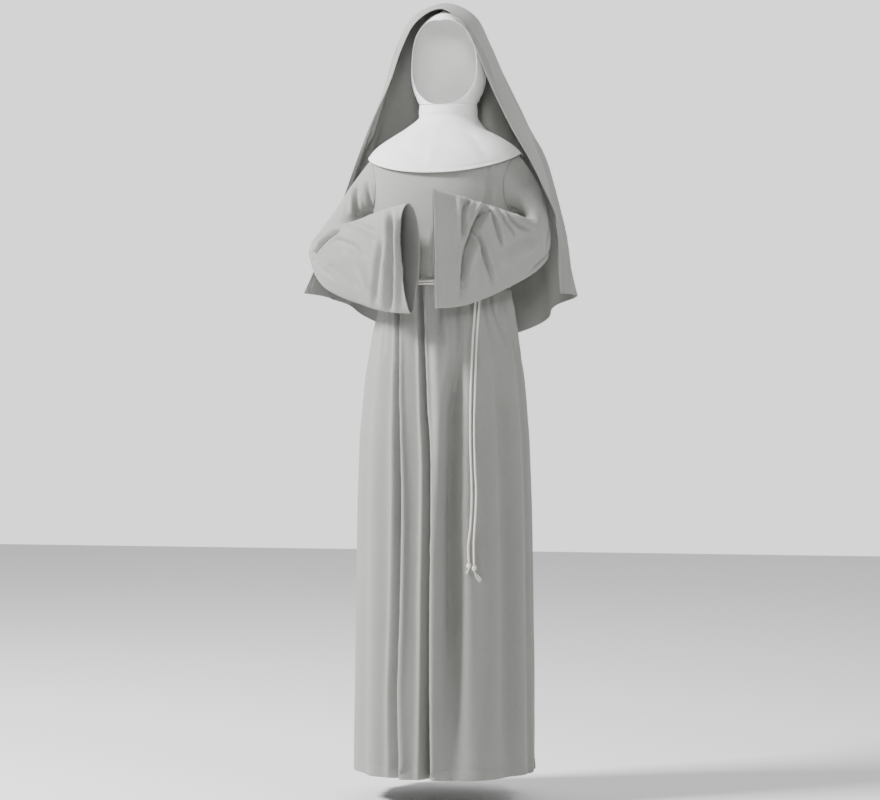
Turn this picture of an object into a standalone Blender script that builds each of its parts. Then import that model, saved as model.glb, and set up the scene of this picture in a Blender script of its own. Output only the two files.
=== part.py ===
"""A nun habit held in the shape of its wearer: robe, bell sleeves, coif, collar, veil and rope belt.

Units are metres, +Z is up and the robe's front faces -Y. The origin is the base of the wearer's
neck at shoulder level. Every cloth piece is a sheet of points worked out from section tables,
made into a wall by Solidify.
"""

import math
from collections import namedtuple

import bpy
from mathutils import Vector

# Driving dimensions.
CLOTH_WALL = 0.002
SEAM_GAP = 0.0004
ROPE_DIAMETER = 0.005

SHOULDER_HEIGHT = -0.026
ARMPIT_HEIGHT = -0.160
ARMHOLE_SPREAD = 31.0
NECKLINE_HEIGHT = 0.045
WAIST_HEIGHT = -0.306
HEM_HEIGHT = -1.368

FRONT_COLUMNS = 28
BACK_COLUMNS = 22
ARMHOLE_STEPS = 8
SLEEVE_BANDS = 15
SLEEVE_OUTSET = 0.0006
EASED_RINGS = 5
EASING_PASSES = 5
EASING_ALONG = 0.7
EASING_STRENGTH = 0.5

GREY = (0.36, 0.36, 0.34)
WHITE = (0.86, 0.86, 0.85)
CORD_WHITE = (0.80, 0.78, 0.72)

# The robe's horizontal sections, neck to hem.
RobeSection = namedtuple("RobeSection", "height half_width front back")
ROBE_SECTIONS = [
    RobeSection(0.045, 0.064, 0.062, 0.064),
    RobeSection(0.022, 0.100, 0.082, 0.082),
    RobeSection(0.005, 0.131, 0.097, 0.094),
    RobeSection(-0.012, 0.153, 0.109, 0.102),
    RobeSection(-0.026, 0.164, 0.116, 0.107),
    RobeSection(-0.050, 0.168, 0.124, 0.111),
    RobeSection(-0.100, 0.165, 0.134, 0.115),
    RobeSection(-0.160, 0.159, 0.137, 0.114),
    RobeSection(-0.220, 0.148, 0.132, 0.108),
    RobeSection(-0.280, 0.135, 0.122, 0.102),
    RobeSection(-0.306, 0.131, 0.118, 0.100),
    RobeSection(-0.340, 0.137, 0.124, 0.108),
    RobeSection(-0.400, 0.153, 0.134, 0.124),
    RobeSection(-0.500, 0.169, 0.141, 0.138),
    RobeSection(-0.640, 0.181, 0.147, 0.148),
    RobeSection(-0.800, 0.186, 0.152, 0.154),
    RobeSection(-1.000, 0.188, 0.159, 0.161),
    RobeSection(-1.200, 0.191, 0.167, 0.169),
    RobeSection(-1.400, 0.194, 0.176, 0.178),
]
ROBE_ROUNDNESS = 2.15
ROUNDING_SPAN = 0.012
# The skirt hangs a little towards the wearer's right, fully so this far below the waist.
SKIRT_SHIFT = 0.004
SKIRT_SHIFT_DROP = 0.3

# How folds are shaped: they fade out above the waist, grow quickly below it, and each trough
# has a lip on both sides.
FOLD_FADE_HEIGHT = 0.08
FOLD_GROWTH_POWER = 0.6
TROUGH_SHARE = 0.65
LIP_SHARE = 0.35
LIP_PLACE = 1.7

# The skirt's folds. Angles run from the front centre, positive towards the wearer's left.
Fold = namedtuple("Fold", "waist_angle hem_angle waist_depth hem_depth half_angle")
SKIRT_FOLDS = [
    Fold(-58.0, -52.0, 0.002, 0.007, 9.0),
    Fold(-35.0, -27.0, 0.004, 0.013, 8.0),
    Fold(-10.0, -4.0, 0.004, 0.014, 8.0),
    Fold(24.0, 14.0, 0.003, 0.010, 9.0),
    Fold(57.0, 58.0, 0.004, 0.009, 11.0),
    Fold(92.0, 96.0, 0.003, 0.008, 10.0),
    Fold(124.0, 121.0, 0.004, 0.012, 10.0),
    Fold(152.0, 149.0, 0.004, 0.011, 9.0),
    Fold(181.0, 178.0, 0.003, 0.013, 10.0),
    Fold(208.0, 213.0, 0.004, 0.010, 9.0),
    Fold(238.0, 241.0, 0.004, 0.012, 10.0),
    Fold(268.0, 264.0, 0.002, 0.007, 9.0),
]

# Each sleeve runs from its armhole over the elbow to the cuff. "outer" is the line over the
# shoulder, elbow and lowest edge, "inner" the line from the armpit over the crook to the wrist.
# "swell" makes a ring wider along its inner line and slimmer along its outer one.
SleeveSection = namedtuple(
    "SleeveSection", "outer_x outer_y outer_z inner_x inner_y inner_z facing half_width swell")
RIGHT_SLEEVE = [
    SleeveSection(-0.203, 0.006, -0.054, -0.170, 0.000, -0.160, 0.0, 0.066, 0.00),
    SleeveSection(-0.229, 0.008, -0.109, -0.177, -0.012, -0.172, -4.0, 0.062, 0.00),
    SleeveSection(-0.264, 0.010, -0.162, -0.179, -0.045, -0.178, -12.0, 0.060, 0.05),
    SleeveSection(-0.293, 0.010, -0.210, -0.174, -0.085, -0.177, -26.0, 0.058, 0.15),
    SleeveSection(-0.298, 0.004, -0.258, -0.160, -0.118, -0.173, -36.0, 0.056, 0.25),
    SleeveSection(-0.270, -0.030, -0.304, -0.136, -0.147, -0.167, -42.0, 0.052, 0.30),
    SleeveSection(-0.222, -0.078, -0.331, -0.110, -0.172, -0.160, -44.0, 0.047, 0.30),
    SleeveSection(-0.160, -0.127, -0.352, -0.085, -0.195, -0.154, -44.0, 0.041, 0.30),
    SleeveSection(-0.098, -0.172, -0.370, -0.058, -0.219, -0.149, -44.0, 0.034, 0.30),
    SleeveSection(-0.030, -0.214, -0.376, -0.029, -0.244, -0.147, -42.0, 0.025, 0.30),
]
LEFT_SLEEVE = [
    SleeveSection(0.206, 0.006, -0.062, 0.172, 0.000, -0.162, 0.0, 0.062, 0.00),
    SleeveSection(0.229, 0.008, -0.134, 0.182, -0.030, -0.172, 12.0, 0.054, 0.00),
    SleeveSection(0.233, 0.004, -0.206, 0.180, -0.076, -0.168, 31.0, 0.049, 0.10),
    SleeveSection(0.222, -0.025, -0.258, 0.156, -0.127, -0.158, 45.0, 0.044, 0.25),
    SleeveSection(0.194, -0.068, -0.293, 0.132, -0.157, -0.150, 48.0, 0.041, 0.30),
    SleeveSection(0.158, -0.108, -0.318, 0.106, -0.184, -0.142, 45.0, 0.038, 0.30),
    SleeveSection(0.115, -0.150, -0.343, 0.078, -0.210, -0.132, 39.0, 0.034, 0.30),
    SleeveSection(0.070, -0.192, -0.361, 0.052, -0.237, -0.124, 29.0, 0.030, 0.30),
    SleeveSection(0.026, -0.228, -0.366, 0.026, -0.262, -0.117, 16.0, 0.026, 0.30),
]

# The white collar: a standing band round the neck, then a bib lying on the robe's shoulders.
NECK_CENTRE = Vector((0.006, -0.004, 0.0))
NECK_HALF_WIDTH = 0.062
NECK_HALF_DEPTH = 0.060
NECK_SEAM_HEIGHT = 0.0908
NECK_SEAM_TILT = 0.12
BAND_SPREAD = 1.06
BAND_FOOT_HEIGHT = 0.058
BIB_SIDE_HEM = -0.024
BIB_FRONT_DROP = 0.050
BIB_BACK_DROP = 0.040
BIB_CLEARANCE = 0.0045
BIB_FLARE = 0.003
BIB_ROWS = 5
# The bib lies this much above the robe's own slope at the neck, and less so at its hem.
BIB_LIFT = 0.0035
BIB_LIFT_LOST = 0.4
BIB_HEM_POWER = 1.5
BAND_FOOT_TILT = 0.036
COLLAR_COLUMNS = 30

# The head's form under the coif, in horizontal sections from the neck seam to the crown.
HeadSection = namedtuple("HeadSection", "height half_width front back")
HEAD_SECTIONS = [
    HeadSection(0.070, 0.060, 0.064, 0.050),
    HeadSection(0.092, 0.065, 0.072, 0.054),
    HeadSection(0.115, 0.076, 0.084, 0.068),
    HeadSection(0.145, 0.082, 0.094, 0.090),
    HeadSection(0.180, 0.081, 0.100, 0.104),
    HeadSection(0.215, 0.077, 0.102, 0.106),
    HeadSection(0.245, 0.069, 0.100, 0.098),
    HeadSection(0.270, 0.049, 0.086, 0.078),
    HeadSection(0.286, 0.030, 0.058, 0.052),
    HeadSection(0.295, 0.014, 0.028, 0.026),
    HeadSection(0.299, 0.001, 0.001, 0.001),
]
HEAD_CENTRE = Vector((0.004, 0.010, 0.180))
FACE_HALF_WIDTH = 0.066
FACE_HALF_HEIGHT = 0.095
FACE_CENTRE_HEIGHT = 0.176
FACE_ROUNDNESS = 2.3
FACE_FRONT_DEPTH = 0.088
FACE_SIDE_SETBACK = 0.040
CHIN_HALF_ANGLE = 14.0
COIF_LIFT = 0.0016
COIF_SETTLE_START = 0.7
# The coif's crown line runs at this radius to the back of the head, where its sides meet.
CROWN_RADIUS = 0.12
CROWN_BACK_Y = 0.130
CROWN_BACK_Z = 0.200
HEAD_REACH = 0.2
HALVINGS = 30
COIF_COLUMNS = 18
COIF_ROWS = 8

# The veil, crown to hem. Each row is one level of a side: the front edge, the side's widest
# point and the centre back.
VeilLevel = namedtuple(
    "VeilLevel", "edge_x edge_y edge_z side_x side_y side_z back_y back_z")
VEIL_LEFT = [
    VeilLevel(0.001, -0.055, 0.291, 0.000, 0.000, 0.314, 0.128, 0.205),
    VeilLevel(0.051, -0.072, 0.253, 0.063, 0.000, 0.285, 0.131, 0.190),
    VeilLevel(0.080, -0.070, 0.198, 0.095, 0.008, 0.226, 0.135, 0.160),
    VeilLevel(0.112, -0.066, 0.120, 0.127, 0.022, 0.150, 0.140, 0.100),
    VeilLevel(0.158, -0.082, 0.030, 0.174, 0.028, 0.052, 0.148, 0.010),
    VeilLevel(0.211, -0.078, -0.066, 0.216, 0.030, -0.048, 0.164, -0.100),
    VeilLevel(0.252, -0.020, -0.178, 0.250, 0.052, -0.174, 0.184, -0.225),
    VeilLevel(0.254, 0.000, -0.270, 0.269, 0.062, -0.270, 0.198, -0.335),
    VeilLevel(0.253, 0.010, -0.326, 0.283, 0.064, -0.330, 0.205, -0.428),
]
VEIL_RIGHT = [
    VeilLevel(-0.001, -0.055, 0.291, 0.000, 0.000, 0.314, 0.128, 0.205),
    VeilLevel(-0.050, -0.072, 0.262, -0.070, 0.000, 0.290, 0.131, 0.190),
    VeilLevel(-0.084, -0.062, 0.208, -0.108, 0.006, 0.232, 0.135, 0.160),
    VeilLevel(-0.116, -0.050, 0.130, -0.138, 0.016, 0.140, 0.140, 0.100),
    VeilLevel(-0.160, -0.044, 0.042, -0.170, 0.030, 0.046, 0.148, 0.010),
    VeilLevel(-0.208, -0.004, -0.050, -0.208, 0.060, -0.054, 0.164, -0.100),
    VeilLevel(-0.274, 0.070, -0.168, -0.252, 0.118, -0.176, 0.184, -0.225),
    VeilLevel(-0.318, 0.074, -0.262, -0.280, 0.128, -0.270, 0.198, -0.335),
    VeilLevel(-0.343, 0.070, -0.318, -0.292, 0.132, -0.330, 0.205, -0.428),
]
VEIL_ROWS = 10
VEIL_COLUMNS_PER_SIDE = 14
VEIL_SIDE_SHARE = 0.28
VEIL_SIDE_SWELL = 0.25
VEIL_FOLD_START = 0.45
VEIL_FOLD_POWER = 1.5
DOME_SHARE = 0.25

# The veil's hanging folds: side +1 is the wearer's left, "back" counts from the front edge.
VeilFold = namedtuple("VeilFold", "side back depth half_width")
VEIL_FOLDS = [
    VeilFold(1, 0.50, 0.032, 0.10),
    VeilFold(1, 0.86, 0.014, 0.10),
    VeilFold(-1, 0.46, 0.016, 0.09),
    VeilFold(-1, 0.78, 0.018, 0.11),
]

# The rope belt, tied at the wearer's left of centre, and its two hanging ends.
BELT_POINTS = 40
BELT_CLEARANCE = 0.0082
BELT_STRAND_OFFSET = 0.0029
KNOT_ANGLE = 39.8
KNOT_HALF_ANGLE = 6.9

RoutePoint = namedtuple("RoutePoint", "x y z")
TAIL_LEFT = [
    RoutePoint(0.0962, -0.1080, -0.3185),
    RoutePoint(0.0960, -0.1085, -0.3500),
    RoutePoint(0.0945, -0.1170, -0.3900),
    RoutePoint(0.0928, -0.1245, -0.4400),
    RoutePoint(0.0908, -0.1315, -0.5340),
    RoutePoint(0.0898, -0.1365, -0.6190),
    RoutePoint(0.0925, -0.1402, -0.7000),
    RoutePoint(0.0952, -0.1418, -0.7500),
    RoutePoint(0.0945, -0.1440, -0.8000),
    RoutePoint(0.0915, -0.1475, -0.8600),
    RoutePoint(0.0925, -0.1500, -0.9090),
]
TAIL_RIGHT = [
    RoutePoint(0.0888, -0.1080, -0.3185),
    RoutePoint(0.0882, -0.1125, -0.3500),
    RoutePoint(0.0868, -0.1205, -0.3900),
    RoutePoint(0.0848, -0.1275, -0.4400),
    RoutePoint(0.0822, -0.1355, -0.5500),
    RoutePoint(0.0825, -0.1400, -0.6500),
    RoutePoint(0.0856, -0.1430, -0.7300),
    RoutePoint(0.0862, -0.1445, -0.7800),
    RoutePoint(0.0838, -0.1465, -0.8300),
    RoutePoint(0.0795, -0.1485, -0.8700),
    RoutePoint(0.0812, -0.1500, -0.9040),
]
TAIL_POINTS = 40

# A knot is a length of thickened rope: its centre line and how far it stands out there.
KnotPoint = namedtuple("KnotPoint", "x y z radius")
WAIST_KNOT = [
    KnotPoint(0.0830, -0.1075, -0.3060, 0.0040),
    KnotPoint(0.0850, -0.1085, -0.3060, 0.0085),
    KnotPoint(0.0890, -0.1085, -0.3065, 0.0100),
    KnotPoint(0.0930, -0.1070, -0.3065, 0.0100),
    KnotPoint(0.0970, -0.1055, -0.3060, 0.0085),
    KnotPoint(0.0990, -0.1040, -0.3060, 0.0040),
]
END_KNOT_LEFT = [
    KnotPoint(0.0925, -0.1505, -0.9098, 0.0030),
    KnotPoint(0.0926, -0.1508, -0.9125, 0.0055),
    KnotPoint(0.0928, -0.1510, -0.9165, 0.0064),
    KnotPoint(0.0930, -0.1510, -0.9205, 0.0052),
    KnotPoint(0.0932, -0.1508, -0.9240, 0.0030),
    KnotPoint(0.0945, -0.1505, -0.9320, 0.0027),
    KnotPoint(0.1010, -0.1500, -0.9400, 0.0027),
    KnotPoint(0.1090, -0.1495, -0.9460, 0.0030),
]
END_KNOT_RIGHT = [
    KnotPoint(0.0812, -0.1505, -0.9048, 0.0030),
    KnotPoint(0.0811, -0.1508, -0.9075, 0.0052),
    KnotPoint(0.0809, -0.1510, -0.9115, 0.0058),
    KnotPoint(0.0806, -0.1510, -0.9155, 0.0048),
    KnotPoint(0.0800, -0.1508, -0.9185, 0.0030),
    KnotPoint(0.0778, -0.1505, -0.9235, 0.0027),
    KnotPoint(0.0735, -0.1500, -0.9280, 0.0029),
]


def clear_scene():
    for item in list(bpy.data.objects):
        bpy.data.objects.remove(item, do_unlink=True)


def make_material(name, colour, roughness):
    material = bpy.data.materials.new(name)
    material.use_nodes = True
    shader = material.node_tree.nodes["Principled BSDF"]
    shader.inputs["Base Color"].default_value = (*colour, 1.0)
    shader.inputs["Roughness"].default_value = roughness
    shader.inputs["Metallic"].default_value = 0.0
    return material


def smooth_between(before, start, end, after, share):
    """Catmull-Rom value between start and end."""
    slope_start = (end - before) * 0.5
    slope_end = (after - start) * 0.5
    gap = end - start
    cubic = slope_start + slope_end - 2.0 * gap
    square = 3.0 * gap - 2.0 * slope_start - slope_end
    return start + slope_start * share + square * share ** 2 + cubic * share ** 3


def along_rows(rows, place):
    """Every column of a table at a place counted in rows, smoothly between them."""
    last = len(rows) - 1
    index = min(int(place), last - 1)
    before = rows[max(index - 1, 0)]
    after = rows[min(index + 2, last)]
    share = place - index
    return rows[0]._make(
        smooth_between(a, b, c, d, share)
        for a, b, c, d in zip(before, rows[index], rows[index + 1], after))


def at_height(rows, height):
    """A section table's columns at a height, straight between its rows."""
    ordered = sorted(rows, key=lambda row: row.height)
    height = min(max(height, ordered[0].height), ordered[-1].height)
    for low, high in zip(ordered, ordered[1:]):
        if height <= high.height:
            share = (height - low.height) / (high.height - low.height)
            return low._make(a + (b - a) * share for a, b in zip(low, high))
    return ordered[-1]


def smooth_at_height(rows, height):
    """The mean of a table over a short span of heights, which rounds its corners."""
    low = at_height(rows, height - ROUNDING_SPAN)
    middle = at_height(rows, height)
    high = at_height(rows, height + ROUNDING_SPAN)
    return middle._make((a + 2.0 * b + c) / 4.0 for a, b, c in zip(low, middle, high))


def fold_offset(angle, height):
    """How far the skirt stands in from or out of its plain section."""
    share = min(max((WAIST_HEIGHT - height) / (WAIST_HEIGHT - HEM_HEIGHT), 0.0), 1.0)
    above = max(0.0, 1.0 - max(0.0, height - WAIST_HEIGHT) / FOLD_FADE_HEIGHT)
    offset = 0.0
    for fold in SKIRT_FOLDS:
        centre = fold.waist_angle + (fold.hem_angle - fold.waist_angle) * share
        depth = fold.waist_depth + (fold.hem_depth - fold.waist_depth) * share ** FOLD_GROWTH_POWER
        turn = (angle - centre + 180.0) % 360.0 - 180.0
        trough = math.exp(-(turn / fold.half_angle) ** 2)
        lip = math.exp(-(abs(turn) / fold.half_angle - LIP_PLACE) ** 2)
        offset += depth * above * (LIP_SHARE * lip - TROUGH_SHARE * trough)
    return offset


def robe_point(angle, height, proud=0.0):
    """A point of the robe's cloth at an angle from the front centre and a height."""
    section = smooth_at_height(ROBE_SECTIONS, height)
    sine = math.sin(math.radians(angle))
    cosine = math.cos(math.radians(angle))
    power = 2.0 / ROBE_ROUNDNESS
    depth = section.front if cosine > 0.0 else section.back
    point = Vector((
        section.half_width * math.copysign(abs(sine) ** power, sine),
        -depth * math.copysign(abs(cosine) ** power, cosine),
        0.0))
    length = point.length
    point *= (length + proud + fold_offset(angle, height)) / length
    point.z = height
    point.x -= SKIRT_SHIFT * min(max((WAIST_HEIGHT - height) / SKIRT_SHIFT_DROP, 0.0), 1.0)
    return point


def armhole_edge(share_up):
    """The armhole's spread and height at a share of the half turn from armpit to shoulder."""
    turn = math.radians(-90.0 + 180.0 * share_up)
    middle = (SHOULDER_HEIGHT + ARMPIT_HEIGHT) * 0.5
    half_height = (SHOULDER_HEIGHT - ARMPIT_HEIGHT) * 0.5
    return ARMHOLE_SPREAD * math.cos(turn), middle + half_height * math.sin(turn)


def robe_rows():
    """The height of each row of points and how far its edges draw back from the side seam."""
    skirt = [HEM_HEIGHT, -1.300, -1.200, -1.080, -0.960, -0.840, -0.720, -0.610, -0.510]
    hips = [-0.430, -0.370, -0.332, WAIST_HEIGHT, -0.280, -0.240, -0.195]
    rows = [(height, 0.0) for height in skirt + hips]
    for step in range(ARMHOLE_STEPS + 1):
        spread, height = armhole_edge(step / ARMHOLE_STEPS)
        rows.append((height, spread))
    rows += [(height, 0.0) for height in (-0.005, 0.020, NECKLINE_HEIGHT)]
    return rows


def sheet_object(name, points, faces, material, wall=CLOTH_WALL):
    """A sheet of cloth as a named object, thickened into a wall."""
    mesh = bpy.data.meshes.new(name)
    mesh.from_pydata([tuple(point) for point in points], [], faces)
    mesh.shade_smooth()
    mesh.materials.append(material)
    piece = bpy.data.objects.new(name, mesh)
    bpy.context.scene.collection.objects.link(piece)
    solidify = piece.modifiers.new("Wall", "SOLIDIFY")
    solidify.thickness = wall
    solidify.offset = 0.0
    triangulate = piece.modifiers.new("Triangles", "TRIANGULATE")
    triangulate.quad_method = "FIXED"
    return piece


def grid_faces(rows, columns, closed=False):
    """Four-sided faces over a grid stored row by row."""
    faces = []
    for row in range(rows - 1):
        for column in range(columns if closed else columns - 1):
            beside = (column + 1) % columns
            low = row * columns
            high = low + columns
            faces.append((low + column, low + beside, high + beside, high + column))
    return faces


def make_robe_panel(name, middle_angle, columns, material):
    """The front or back panel, side seam to side seam."""
    points = []
    rows = robe_rows()
    for height, spread in rows:
        half = 90.0 - spread
        for column in range(columns + 1):
            share = column / columns * 2.0 - 1.0
            points.append(robe_point(middle_angle + half * share, height))
        # The panel ends short of its neighbour at the side and shoulder seams.
        if spread < 1.0:
            first = points[-columns - 1]
            last = points[-1]
            first += (points[-columns] - first).normalized() * SEAM_GAP * 0.5
            last += (points[-2] - last).normalized() * SEAM_GAP * 0.5
    return sheet_object(name, points, grid_faces(len(rows), columns + 1), material)


def armhole_ring(side):
    """The armhole as a closed ring just proud of the robe, from the armpit by the front."""
    proud = CLOTH_WALL * 0.5 + SEAM_GAP * 2.0
    ring = []
    for step in range(2 * ARMHOLE_STEPS):
        if step <= ARMHOLE_STEPS:
            spread, height = armhole_edge(step / ARMHOLE_STEPS)
            angle = 90.0 - spread
        else:
            spread, height = armhole_edge(2.0 - step / ARMHOLE_STEPS)
            angle = 90.0 + spread
        point = robe_point(side * angle, height, proud)
        point.x += side * SLEEVE_OUTSET
        ring.append(point)
    return ring


def sleeve_ring(section, columns):
    """One ring of a sleeve: its height from outer to inner line, its width along its facing."""
    outer = Vector((section.outer_x, section.outer_y, section.outer_z))
    inner = Vector((section.inner_x, section.inner_y, section.inner_z))
    centre = (outer + inner) * 0.5
    reach = (outer - inner) * 0.5
    facing = math.radians(section.facing)
    front = Vector((math.sin(facing), -math.cos(facing), 0.0))
    ring = []
    for column in range(columns):
        turn = math.radians(-90.0 + 360.0 * column / columns)
        swell = 1.0 - section.swell * math.sin(turn)
        side = front * section.half_width * math.cos(turn) * swell
        ring.append(centre + reach * math.sin(turn) + side)
    return ring


def ease_rings(rings):
    """Draws the rings near the armhole towards their neighbours, so the underarm stays open."""
    columns = len(rings[0])
    for _ in range(EASING_PASSES):
        eased = [list(ring) for ring in rings]
        for number in range(1, EASED_RINGS + 1):
            for column in range(columns):
                along = (rings[number - 1][column] + rings[number + 1][column]) * 0.5
                around = (rings[number][column - 1] + rings[number][(column + 1) % columns]) * 0.5
                middle = around.lerp(along, EASING_ALONG)
                eased[number][column] = rings[number][column].lerp(middle, EASING_STRENGTH)
        rings = eased
    return rings


def make_sleeve(name, sections, side, material):
    columns = 2 * ARMHOLE_STEPS
    rings = [armhole_ring(side)]
    for band in range(SLEEVE_BANDS):
        place = band / (SLEEVE_BANDS - 1) * (len(sections) - 1)
        rings.append(sleeve_ring(along_rows(sections, place), columns))
    points = [point for ring in ease_rings(rings) for point in ring]
    faces = grid_faces(SLEEVE_BANDS + 1, columns, closed=True)
    if side < 0:
        faces = [tuple(reversed(face)) for face in faces]
    return sheet_object(name, points, faces, material)


def neck_seam_point(angle):
    """A point of the seam between coif and collar."""
    turn = math.radians(angle)
    point = NECK_CENTRE + Vector((
        NECK_HALF_WIDTH * math.sin(turn), -NECK_HALF_DEPTH * math.cos(turn), 0.0))
    point.z = NECK_SEAM_HEIGHT + NECK_SEAM_TILT * point.y
    return point


def bib_hem_height(angle):
    cosine = math.cos(math.radians(angle))
    drop = BIB_FRONT_DROP if cosine > 0.0 else BIB_BACK_DROP
    return BIB_SIDE_HEM - drop * abs(cosine) ** BIB_HEM_POWER


def make_collar(name, material):
    points = []
    for row in range(BIB_ROWS + 4):
        for column in range(COLLAR_COLUMNS):
            angle = 360.0 * column / COLLAR_COLUMNS
            top = neck_seam_point(angle)
            foot = NECK_CENTRE + (top - NECK_CENTRE) * BAND_SPREAD
            foot.z = BAND_FOOT_HEIGHT + BAND_FOOT_TILT * foot.y
            if row < 3:
                points.append(top.lerp(foot, row / 2.0))
                continue
            share = (row - 2) / (BIB_ROWS + 1)
            hem = bib_hem_height(angle)
            height = NECKLINE_HEIGHT + (hem - NECKLINE_HEIGHT) * share
            proud = BIB_CLEARANCE + BIB_FLARE * share ** 2
            point = robe_point(angle, height, proud)
            point.z += BIB_LIFT * (1.0 - BIB_LIFT_LOST * share)
            points.append(point)
    faces = grid_faces(BIB_ROWS + 4, COLLAR_COLUMNS, closed=True)
    faces = [tuple(reversed(face)) for face in faces]
    return sheet_object(name, points, faces, material)


def head_point(direction):
    """Where a line from the head's centre meets the head's form."""
    near = 0.0
    far = HEAD_REACH
    for _ in range(HALVINGS):
        middle = (near + far) * 0.5
        point = HEAD_CENTRE + direction * middle
        section = smooth_at_height(HEAD_SECTIONS, point.z)
        depth = section.front if point.y < HEAD_CENTRE.y else section.back
        across = (point.x - HEAD_CENTRE.x) / section.half_width
        along = (point.y - HEAD_CENTRE.y) / depth
        if across ** 2 + along ** 2 < 1.0 and point.z < HEAD_SECTIONS[-1].height:
            near = middle
        else:
            far = middle
    return HEAD_CENTRE + direction * near


def face_edge(share, side):
    """The face opening's edge, from the forehead's middle to beside the chin."""
    turn = math.radians((180.0 - CHIN_HALF_ANGLE) * share)
    power = 2.0 / FACE_ROUNDNESS
    across = FACE_HALF_WIDTH * abs(math.sin(turn)) ** power
    up = FACE_HALF_HEIGHT * math.copysign(abs(math.cos(turn)) ** power, math.cos(turn))
    depth = FACE_FRONT_DEPTH - FACE_SIDE_SETBACK * abs(math.sin(turn))
    return Vector((HEAD_CENTRE.x + side * across, -depth, FACE_CENTRE_HEIGHT + up))


def coif_point(share_down, share_back, side):
    """A point of the coif: down from the crown line to the neck seam, and back from the face."""
    front = face_edge(share_down, side)
    start = face_edge(0.0, side)
    end = face_edge(1.0, side)
    nape = neck_seam_point(180.0)
    pole = Vector((HEAD_CENTRE.x, CROWN_BACK_Y, CROWN_BACK_Z))
    crown_start = math.atan2(start.z - HEAD_CENTRE.z, start.y - HEAD_CENTRE.y)
    crown_end = math.atan2(pole.z - HEAD_CENTRE.z, pole.y - HEAD_CENTRE.y)
    crown_turn = crown_start + (crown_end - crown_start) * share_back
    crown_way = Vector((0.0, math.cos(crown_turn), math.sin(crown_turn)))
    crown = HEAD_CENTRE + crown_way * CROWN_RADIUS
    back = pole.lerp(nape, share_down)
    chin_angle = math.degrees(math.atan2(abs(end.x - NECK_CENTRE.x), NECK_HALF_DEPTH))
    seam = neck_seam_point(side * (chin_angle + (180.0 - chin_angle) * share_back))
    blend = (
        front * (1.0 - share_back) + back * share_back
        + crown * (1.0 - share_down) + seam * share_down
        - start * (1.0 - share_down) * (1.0 - share_back)
        - end * share_down * (1.0 - share_back)
        - pole * (1.0 - share_down) * share_back
        - nape * share_down * share_back)
    point = head_point((blend - HEAD_CENTRE).normalized())
    # The lower edge leaves the head's form for the neck seam.
    settle = max(0.0, share_down - COIF_SETTLE_START) / (1.0 - COIF_SETTLE_START)
    seam_clear = seam + Vector((0.0, 0.0, COIF_LIFT))
    return point.lerp(seam_clear, settle ** 2)


def zipped_sheet(point_at, rows, side_columns):
    """Points and faces of a hood: two sides that meet at the crown line and down the back."""
    points = []
    index = {}
    for row in range(rows + 1):
        for column in range(-side_columns, side_columns + 1):
            key = (row, column)
            if row == rows:
                key = (row, abs(column))
            if key in index:
                index[(row, column)] = index[key]
                continue
            side = -1 if column < 0 else 1
            share_down = abs(column) / side_columns
            index[key] = len(points)
            index[(row, column)] = len(points)
            points.append(point_at(share_down, row / rows, side))
    faces = []
    for row in range(rows):
        for column in range(-side_columns, side_columns):
            corners = [
                index[(row, column)], index[(row, column + 1)],
                index[(row + 1, column + 1)], index[(row + 1, column)]]
            faces.append(tuple(corners))
    return points, faces


def make_coif(name, material):
    points, faces = zipped_sheet(coif_point, COIF_ROWS, COIF_COLUMNS // 2)
    return sheet_object(name, points, faces, material)


def veil_fold_depth(share_down, share_back, side):
    """How far the veil's folds bring it in, deepest at the hem."""
    drop = max(0.0, share_down - VEIL_FOLD_START) / (1.0 - VEIL_FOLD_START)
    depth = 0.0
    for fold in VEIL_FOLDS:
        if fold.side == side:
            depth += fold.depth * math.exp(-((share_back - fold.back) / fold.half_width) ** 2)
    return depth * drop ** VEIL_FOLD_POWER


def veil_point(share_down, share_back, side):
    """A point of the veil: down a side from the crown, and back from its front edge."""
    # The other side's first level comes before the crown, so that the crown is round.
    levels = VEIL_RIGHT[1:2] + VEIL_LEFT if side > 0 else VEIL_LEFT[1:2] + VEIL_RIGHT
    level = along_rows(levels, 1.0 + share_down * (len(levels) - 2))
    edge = Vector((level.edge_x, level.edge_y, level.edge_z))
    wide = Vector((level.side_x, level.side_y, level.side_z))
    back = Vector((0.0, level.back_y, level.back_z))
    if share_back < VEIL_SIDE_SHARE:
        share = share_back / VEIL_SIDE_SHARE
        swell = (wide.x - edge.x) * VEIL_SIDE_SWELL * math.sin(math.pi * share)
        return edge.lerp(wide, share) + Vector((swell, 0.0, 0.0))
    turn = (share_back - VEIL_SIDE_SHARE) / (1.0 - VEIL_SIDE_SHARE) * math.pi * 0.5
    # The crown is a dome; further down the hem runs level across the back.
    power = 1.0 + min(share_down / DOME_SHARE, 1.0)
    height = back.z + (wide.z - back.z) * max(math.cos(turn), 0.0) ** power
    depth = wide.y + (back.y - wide.y) * math.sin(turn)
    outward = Vector((side * math.cos(turn), math.sin(turn), 0.0))
    point = Vector((wide.x * math.cos(turn), depth, height))
    return point - outward * veil_fold_depth(share_down, share_back, side)


def make_veil(name, material):
    points, faces = zipped_sheet(veil_point, VEIL_ROWS, VEIL_COLUMNS_PER_SIDE)
    return sheet_object(name, points, faces, material)


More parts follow.
